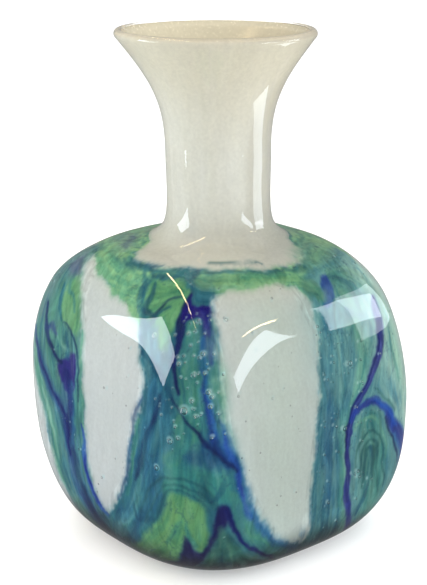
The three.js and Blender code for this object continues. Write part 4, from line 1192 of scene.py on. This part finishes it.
def foot_swirl():
    """A closed sheet under the whole foot, up to an edge of latitude."""
    azimuth = np.degrees(RING_AZIMUTHS)
    edge = by_azimuth(FOOT_EDGE, azimuth)
    share = np.linspace(0, 1, 72)[1:, None] ** 0.8
    latitude = POLE + (edge - POLE) * share
    spread_azimuth = np.broadcast_to(azimuth, latitude.shape)
    from_edge = edge - latitude
    top = core_skin.at(spread_azimuth, latitude, SHEET * ramp(from_edge / 3) - SINK)
    under = core_skin.at(spread_azimuth, latitude, -ROOT * ramp(0.25 + from_edge / 3))[::-1]
    foot_z = COVER[0][1]
    points, faces = closed_by_poles(np.vstack([top, under]), at_axis(foot_z - SHEET), at_axis(foot_z + ROOT))
    latitudes = np.concatenate([[POLE], latitude.ravel(), latitude[::-1].ravel(), [POLE]])
    azimuths = np.concatenate([[0], np.tile(azimuth, 2 * len(latitude)), [0]])
    piece = mesh_object("foot_swirl_glass", points, faces, canvas.at(azimuths, latitudes), (coloured_glass,))
    own(piece)


# ---- The casing ----
CASING_COUNTS = (56, 50, 22, 30)


def casing_grid():
    waver_az = np.degrees(RING_AZIMUTHS)[None]
    outside = skin_path(CASING_COUNTS, lambda z: 0 * z)
    punt = disc_path(PUNT_R, lambda s: PUNT_DEPTH * (1 - s * s) ** 1.5, 8, outside[0][2])
    ledge = [(PUNT_R + (FOOT_HALF - PUNT_R) * s, 0.0, outside[0][2]) for s in (0.25, 0.5, 0.75)]
    outer = punt + ledge + outside + bead_path(BEAD_R)[1:]
    inside = skin_path(CASING_COUNTS, lambda z: by_height(COVER, z) + EMBEDDED)[:-1][::-1]
    floor_z = COVER[0][1] + EMBEDDED
    floor = disc_path(inside[-1][0], lambda s: floor_z, 6, inside[-1][2], outwards=False)[1:]
    inner = bead_path(LIP_CORE_R - EMBEDDED)[::-1] + inside + floor
    grid = sweep(outer + inner)
    z = grid[: len(outer), :, 2]
    waves = layered_noise(waver_az / 18, z / 16, seed=51, octaves=2, period=20) - 0.5
    calm = ramp(z / 12) * ramp((HEIGHT - 6 - z) / 10)
    radial = grid[: len(outer), :, :2]
    reach = np.linalg.norm(radial, axis=2, keepdims=True)
    radial -= radial / np.maximum(reach, 1) * (0.16 * waves * calm)[..., None]
    return grid, floor_z


def ball(centre, radius, first):
    """Points and inward faces of a small bubble."""
    rings, around = 6, 10
    points = [centre + [0, 0, -radius]]
    for i in range(1, rings):
        angle = math.pi * i / rings
        for j in range(around):
            turn = 2 * math.pi * j / around
            points.append(centre + radius * np.array([math.sin(angle) * math.cos(turn),
                                                      math.sin(angle) * math.sin(turn), -math.cos(angle)]))
    points.append(centre + [0, 0, radius])
    faces = []
    last = 1 + (rings - 2) * around
    for j in range(around):
        k = (j + 1) % around
        faces.append((first, first + 1 + j, first + 1 + k))
        faces.append((first + last + j, first + len(points) - 1, first + last + k))
        for i in range(rings - 2):
            a = first + 1 + i * around
            faces.append((a + j, a + around + j, a + around + k, a + k))
    return points, faces


def clear_casing():
    grid, floor_z = casing_grid()
    points, faces = closed_by_poles(grid, at_axis(PUNT_DEPTH), at_axis(floor_z))
    points, count = [points], len(points)
    for azimuth, latitude, radius, height in bubbles():
        centre = core_skin.at(np.array([azimuth]), np.array([latitude]), np.array([height]))[0]
        more, more_faces = ball(centre, radius, count)
        points.append(np.array(more))
        faces += more_faces
        count += len(more)
    piece = mesh_object("clear_casing_glass", np.vstack(points), faces, None, (casing_glass,))
    piece.visible_shadow = False  # light reaches the colours through it without the noise of caustics
    own(piece)


# ---- Materials ----
def shader(name, **values):
    material = bpy.data.materials.new(name)
    material.use_nodes = True
    principled = material.node_tree.nodes["Principled BSDF"]
    for label, value in values.items():
        principled.inputs[label.replace("_", " ")].default_value = value
    return material, material.node_tree, principled


def noise_node(tree, scale, detail, stretch=(1, 1, 1), distortion=0.0):
    place = tree.nodes.new("ShaderNodeTexCoord")
    mapping = tree.nodes.new("ShaderNodeMapping")
    mapping.inputs["Scale"].default_value = stretch
    node = tree.nodes.new("ShaderNodeTexNoise")
    node.inputs["Scale"].default_value = scale
    node.inputs["Detail"].default_value = detail
    node.inputs["Distortion"].default_value = distortion
    tree.links.new(place.outputs["Object"], mapping.inputs["Vector"])
    tree.links.new(mapping.outputs["Vector"], node.inputs["Vector"])
    return node


def mapped(tree, value, low, high, out_low, out_high):
    node = tree.nodes.new("ShaderNodeMapRange")
    for label, number in zip(("From Min", "From Max", "To Min", "To Max"), (low, high, out_low, out_high)):
        node.inputs[label].default_value = number
    tree.links.new(value, node.inputs["Value"])
    return node.outputs["Result"]


VEIN_SCALE, MOTTLE_SCALE = 260, 900  # features per metre


def painted_glass(name, vein_strength, **values):
    """The painted colour, with fine veins and mottling that run up and down the body."""
    material, tree, principled = shader(name, **values)
    colour = tree.nodes.new("ShaderNodeAttribute")
    colour.attribute_name = "glass_colour"
    veins = noise_node(tree, VEIN_SCALE, 5, (1, 1, 0.22), 1.4)
    mottle = noise_node(tree, MOTTLE_SCALE, 3)
    vein_shade = mapped(tree, veins.outputs["Fac"], 0.3, 0.7, 1 - vein_strength, 1 + vein_strength)
    mottle_shade = mapped(tree, mottle.outputs["Fac"], 0.3, 0.7, 0.96, 1.04)
    both = tree.nodes.new("ShaderNodeMath")
    both.operation = "MULTIPLY"
    tree.links.new(vein_shade, both.inputs[0])
    tree.links.new(mottle_shade, both.inputs[1])
    shaded = tree.nodes.new("ShaderNodeVectorMath")
    shaded.operation = "SCALE"
    tree.links.new(colour.outputs["Color"], shaded.inputs[0])
    tree.links.new(both.outputs["Value"], shaded.inputs["Scale"])
    tree.links.new(shaded.outputs["Vector"], principled.inputs["Base Color"])
    rough = mapped(tree, mottle.outputs["Fac"], 0.3, 0.7, 0.14, 0.3)
    tree.links.new(rough, principled.inputs["Roughness"])
    return material


opal_skin = painted_glass("opal_skin", 0.03, Specular_IOR_Level=0.0)
opal_lining = painted_glass("opal_lining", 0.03, Specular_IOR_Level=0.5)
coloured_glass = painted_glass("coloured_glass", 0.22, Specular_IOR_Level=0.0)


def clear_glass():
    material, tree, principled = shader("clear_casing_glass", Transmission_Weight=1.0, IOR=1.5)
    principled.inputs["Base Color"].default_value = (0.985, 0.992, 0.99, 1)
    smears = noise_node(tree, 60, 4)
    tree.links.new(mapped(tree, smears.outputs["Fac"], 0.35, 0.75, 0.012, 0.05),
                   principled.inputs["Roughness"])
    return material


casing_glass = clear_glass()


# ---- The pieces ----
REACH = 3.0  # degrees that a sheet runs on past its CAD outline, under its neighbours' edges

SWIRLS = {"front_swirl": [(-76, 52), (-72, 36), (-66, 16), (-71, -3), (-75, -22), (-86, -36), (-84, -50),
                          (-45, -50), (-8, -50), (-20, -38), (-31, -20), (-38, 0), (-41, 22), (-43, 40),
                          (-41, 52)], "right_swirl": [(2, 52), (4, 30), (1, 10), (-2, -14), (-5, -34),
                                                      (-4, -50), (48, -50), (54, -30), (50, -8), (42, 12),
                                                      (42, 32), (44, 52)],
          "back_swirl": [(112, 52), (108, 34), (104, 12), (101, -12), (96, -34), (92, -50), (150, -50),
                         (152, -30), (154, -6), (158, 18), (156, 36), (154, 52)],
          "left_swirl": [(-140, 52), (-137, 30), (-136, 8), (-131, -14), (-124, -34), (-120, -50),
                         (-94, -50), (-95, -34), (-101, -16), (-103, 4), (-104, 22), (-112, 36), (-122, 52)],
          }
CHIPS = {"front_lime_tongue": [(-50, -17), (-55, -21), (-58, -29), (-65, -35), (-72, -40), (-64, -40),
                               (-56, -35), (-50, -30), (-47, -23)],
         "left_lime_chip": [(-122, 38), (-113, 33), (-110, 26), (-115, 22), (-121, 25)],
         "front_cobalt_crest": [(-50, 42), (-46, 40), (-42, 40), (-43, 34), (-46, 31), (-50, 32), (-53, 26),
                                (-54, 32), (-52, 38)],
         "front_cobalt_chevron": [(-58, -40), (-50, -35.5), (-45, -29), (-41, -19), (-38, -20), (-34, -29),
                                  (-27, -37), (-30, -39), (-37, -32), (-39.5, -26), (-43, -32), (-48, -38),
                                  (-55, -43)],
         "right_cobalt_crest": [(22, 43), (17, 43), (14, 39), (15, 34), (18, 38)], }
TRAILS = {"left_cobalt_trail": [(-134, 12, 1), (-127, 4, 2), (-119, -4, 3), (-112, -14, 3), (-108, -26, 2.4),
                                (-103, -37, 1.4)],
          "left_cobalt_hook": [(-130, 22, 0.8), (-125, 14, 1.4), (-118, 10, 2.4), (-111, 9, 3),
                               (-107, 15, 1), (-109, 22, 0.6)],
          "front_cobalt_trail": [(-45, 28, 1.2), (-43.5, 16, 1.6), (-42, 4, 2), (-38, -6, 2),
                                 (-34, -16, 1.2), (-30, -26, 0.7)],
          "right_cobalt_trail": [(38, 30, 1.4), (36, 18, 1.4), (29, 8, 1.2), (21, 0, 1.2), (16, -9, 1.3),
                                 (15, -22, 1.2), (17, -36, 0.9)],
          "right_cobalt_arch": [(20, -6, 0.6), (24, -2, 1), (30, -1.5, 1.2), (36, -7, 1.4), (42, -15, 1.8),
                                (47, -22, 1.4), (47, -32, 0.8)],
          "back_cobalt_trail": [(118, 38, 1), (121, 22, 1.6), (129, 8, 2), (133, -8, 1.6), (128, -22, 1.2),
                                (122, -36, 0.8)],
          "back_cobalt_arch": [(140, 30, 0.8), (146, 18, 1.3), (148, 2, 1.6), (145, -14, 1.2),
                               (141, -30, 0.7)], }
COLLAR_LOWER = [(-180, 46), (-155, 46), (-135, 45), (-105, 44), (-78, 39), (-45, 45), (-20, 49), (5, 45),
                (30, 44), (60, 46), (95, 47), (125, 43), (155, 45), (180, 46)]
COLLAR_UPPER = [(-180, 66), (-118, 66), (-109, 62.5), (-102, 58.5), (-96, 56.5), (-45, 56), (18, 56.2),
                (26, 59), (34, 63), (44, 66), (180, 66)]
FOOT_EDGE = [(-180, -41), (-135, -42), (-90, -39), (-50, -43), (-10, -44), (30, -42), (75, -40), (120, -42),
             (170, -41), (180, -41)]


def glass_pieces():
    opal_core()
    band("shoulder_collar_glass", COLLAR_LOWER, COLLAR_UPPER, "teal_glass", SHEET, 2.5)
    foot_swirl()
    for name, outline in SWIRLS.items():
        glass_patch(name + "_glass", smooth_path(outline, 6, closed=True), coloured_glass, 0.33,
                    SHEET, 3, REACH)
    for name, outline in CHIPS.items():
        glass_patch(name + "_glass", smooth_path(outline, 6, closed=True), coloured_glass, 0.3, TRAIL,
                    1.6)
    for name, points in TRAILS.items():
        glass_patch(name + "_glass", trail_outline(points), coloured_glass, 0.3, TRAIL, 1.6)
    clear_casing()


canvas = painted()
glass_pieces()


# ---- Studio ----
FLOOR_GLOW, AIR_GLOW = 0.16, 0.25  # keep the floor pale and its edge soft


def plain(name, colour, roughness):
    material, tree, principled = shader(name, Roughness=roughness, Specular_IOR_Level=0.2)
    principled.inputs["Emission Color"].default_value = (1, 1, 1, 1)
    principled.inputs["Emission Strength"].default_value = FLOOR_GLOW
    grain = noise_node(tree, 30, 3)
    shade = mapped(tree, grain.outputs["Fac"], 0.3, 0.7, 0.99, 1.01)
    scaled = tree.nodes.new("ShaderNodeVectorMath")
    scaled.operation = "SCALE"
    scaled.inputs[0].default_value = colour
    tree.links.new(shade, scaled.inputs["Scale"])
    tree.links.new(scaled.outputs["Vector"], principled.inputs["Base Color"])
    return material


def studio_floor():
    """A pale round floor that runs on past every view."""
    around = 64
    radii = (0.1, 0.3, 0.8, 2.0, 5.0, 12.0)
    points = [(0, 0, 0)]
    for r in radii:
        for j in range(around):
            points.append((r * math.cos(2 * math.pi * j / around), r * math.sin(2 * math.pi * j / around), 0))
    faces = ring_faces(len(radii), around, first=1)
    faces = [face[::-1] for face in faces]
    faces += [(0, 1 + j, 1 + (j + 1) % around) for j in range(around)]
    mesh = bpy.data.meshes.new("studio_floor")
    mesh.from_pydata(points, [], faces)
    mesh.materials.append(plain("studio_floor", (0.86, 0.86, 0.86), 0.6))
    floor = bpy.data.objects.new("studio_floor", mesh)
    bpy.context.scene.collection.objects.link(floor)
    floor.visible_glossy = False


def direction(azimuth, elevation):
    """The unit vector towards a view azimuth and elevation in degrees."""
    a, e = math.radians(azimuth), math.radians(elevation)
    return Vector((math.sin(a) * math.cos(e), -math.cos(a) * math.cos(e), math.sin(e)))


def window_light(name, azimuth, elevation, wide, high, radiance, colour, distance=0.34, roll=0.0,
                 height=0.092):
    """A rectangular light that spans `wide` by `high` degrees as seen from a point on the axis."""
    light = bpy.data.lights.new(name, "AREA")
    light.shape = "RECTANGLE"
    light.size = 2 * distance * math.tan(math.radians(wide / 2))
    light.size_y = 2 * distance * math.tan(math.radians(high / 2))
    light.energy = radiance * math.pi * light.size * light.size_y
    light.color = colour
    lamp = bpy.data.objects.new(name, light)
    bpy.context.scene.collection.objects.link(lamp)
    aim = direction(azimuth, elevation)
    lamp.location = Vector((0, 0, height)) + aim * distance
    facing = aim.to_track_quat("Z", "Y").to_matrix().to_4x4() @ Matrix.Rotation(math.radians(roll), 4, "Z")
    lamp.rotation_euler = facing.to_euler()
    lamp.visible_transmission = False
    lamp.visible_camera = False
    return lamp


def lighting():
    world = bpy.data.worlds.new("studio_air")
    world.use_nodes = True
    world.node_tree.nodes["Background"].inputs["Color"].default_value = (0.95, 0.97, 1.0, 1)
    world.node_tree.nodes["Background"].inputs["Strength"].default_value = AIR_GLOW
    world.cycles.sampling_method = "NONE"
    bpy.context.scene.world = world
    daylight, warm, white = (0.84, 0.93, 1.0), (1.0, 0.74, 0.42), (1.0, 0.99, 0.98)
    # Name, azimuth, elevation, width and height in degrees, radiance, colour, distance in metres.
    window_light("left_window", -29, 9, 27, 20, 8.5, daylight, roll=-30)
    window_light("right_window_near", 112.5, 6, 27, 8, 8.0, daylight, roll=26)
    window_light("right_window_far", 141, 10, 22, 12, 7.0, daylight, roll=-9)
    window_light("neck_strip", 139, -19, 25, 22, 4.2, daylight, distance=0.12, height=0.14)
    window_light("warm_strip_high", -38, 62, 60, 1.2, 30.0, warm, 1.3)
    window_light("warm_strip_low", 125, 20, 14, 0.8, 30.0, warm, 1.3)
    ceiling = window_light("soft_ceiling", 50, 86, 90, 90, 1.25, white, 3.2)
    front = window_light("soft_front", 50, 24, 90, 40, 0.55, white, 2.4)
    right = window_light("soft_right", 130, 24, 70, 38, 2.0, white, 2.0)
    behind = window_light("soft_back", 230, 40, 80, 50, 1.1, white, 3.0)
    for lamp in (ceiling, front, right, behind):
        lamp.visible_glossy = False


def camera():
    """The photo's viewpoint, fitted to the outline of the vase."""
    azimuth, elevation, distance = 50.0, 16.73, 0.495
    aside, target_z = -0.001855, 0.08638
    right = Vector((math.cos(math.radians(azimuth)), math.sin(math.radians(azimuth)), 0))
    back = direction(azimuth, elevation)
    target = right * aside + Vector((0, 0, target_z))
    data = bpy.data.cameras.new("camera")
    data.sensor_width = 36
    data.lens = 85.1
    seat = bpy.data.objects.new("camera", data)
    up = back.cross(right)
    turned = Matrix((right, up, back)).transposed().to_4x4()
    seat.matrix_world = Matrix.Translation(target + back * distance) @ turned
    bpy.context.scene.collection.objects.link(seat)
    bpy.context.scene.camera = seat


studio_floor()
lighting()
camera()
bpy.context.scene.view_settings.view_transform = "Standard"
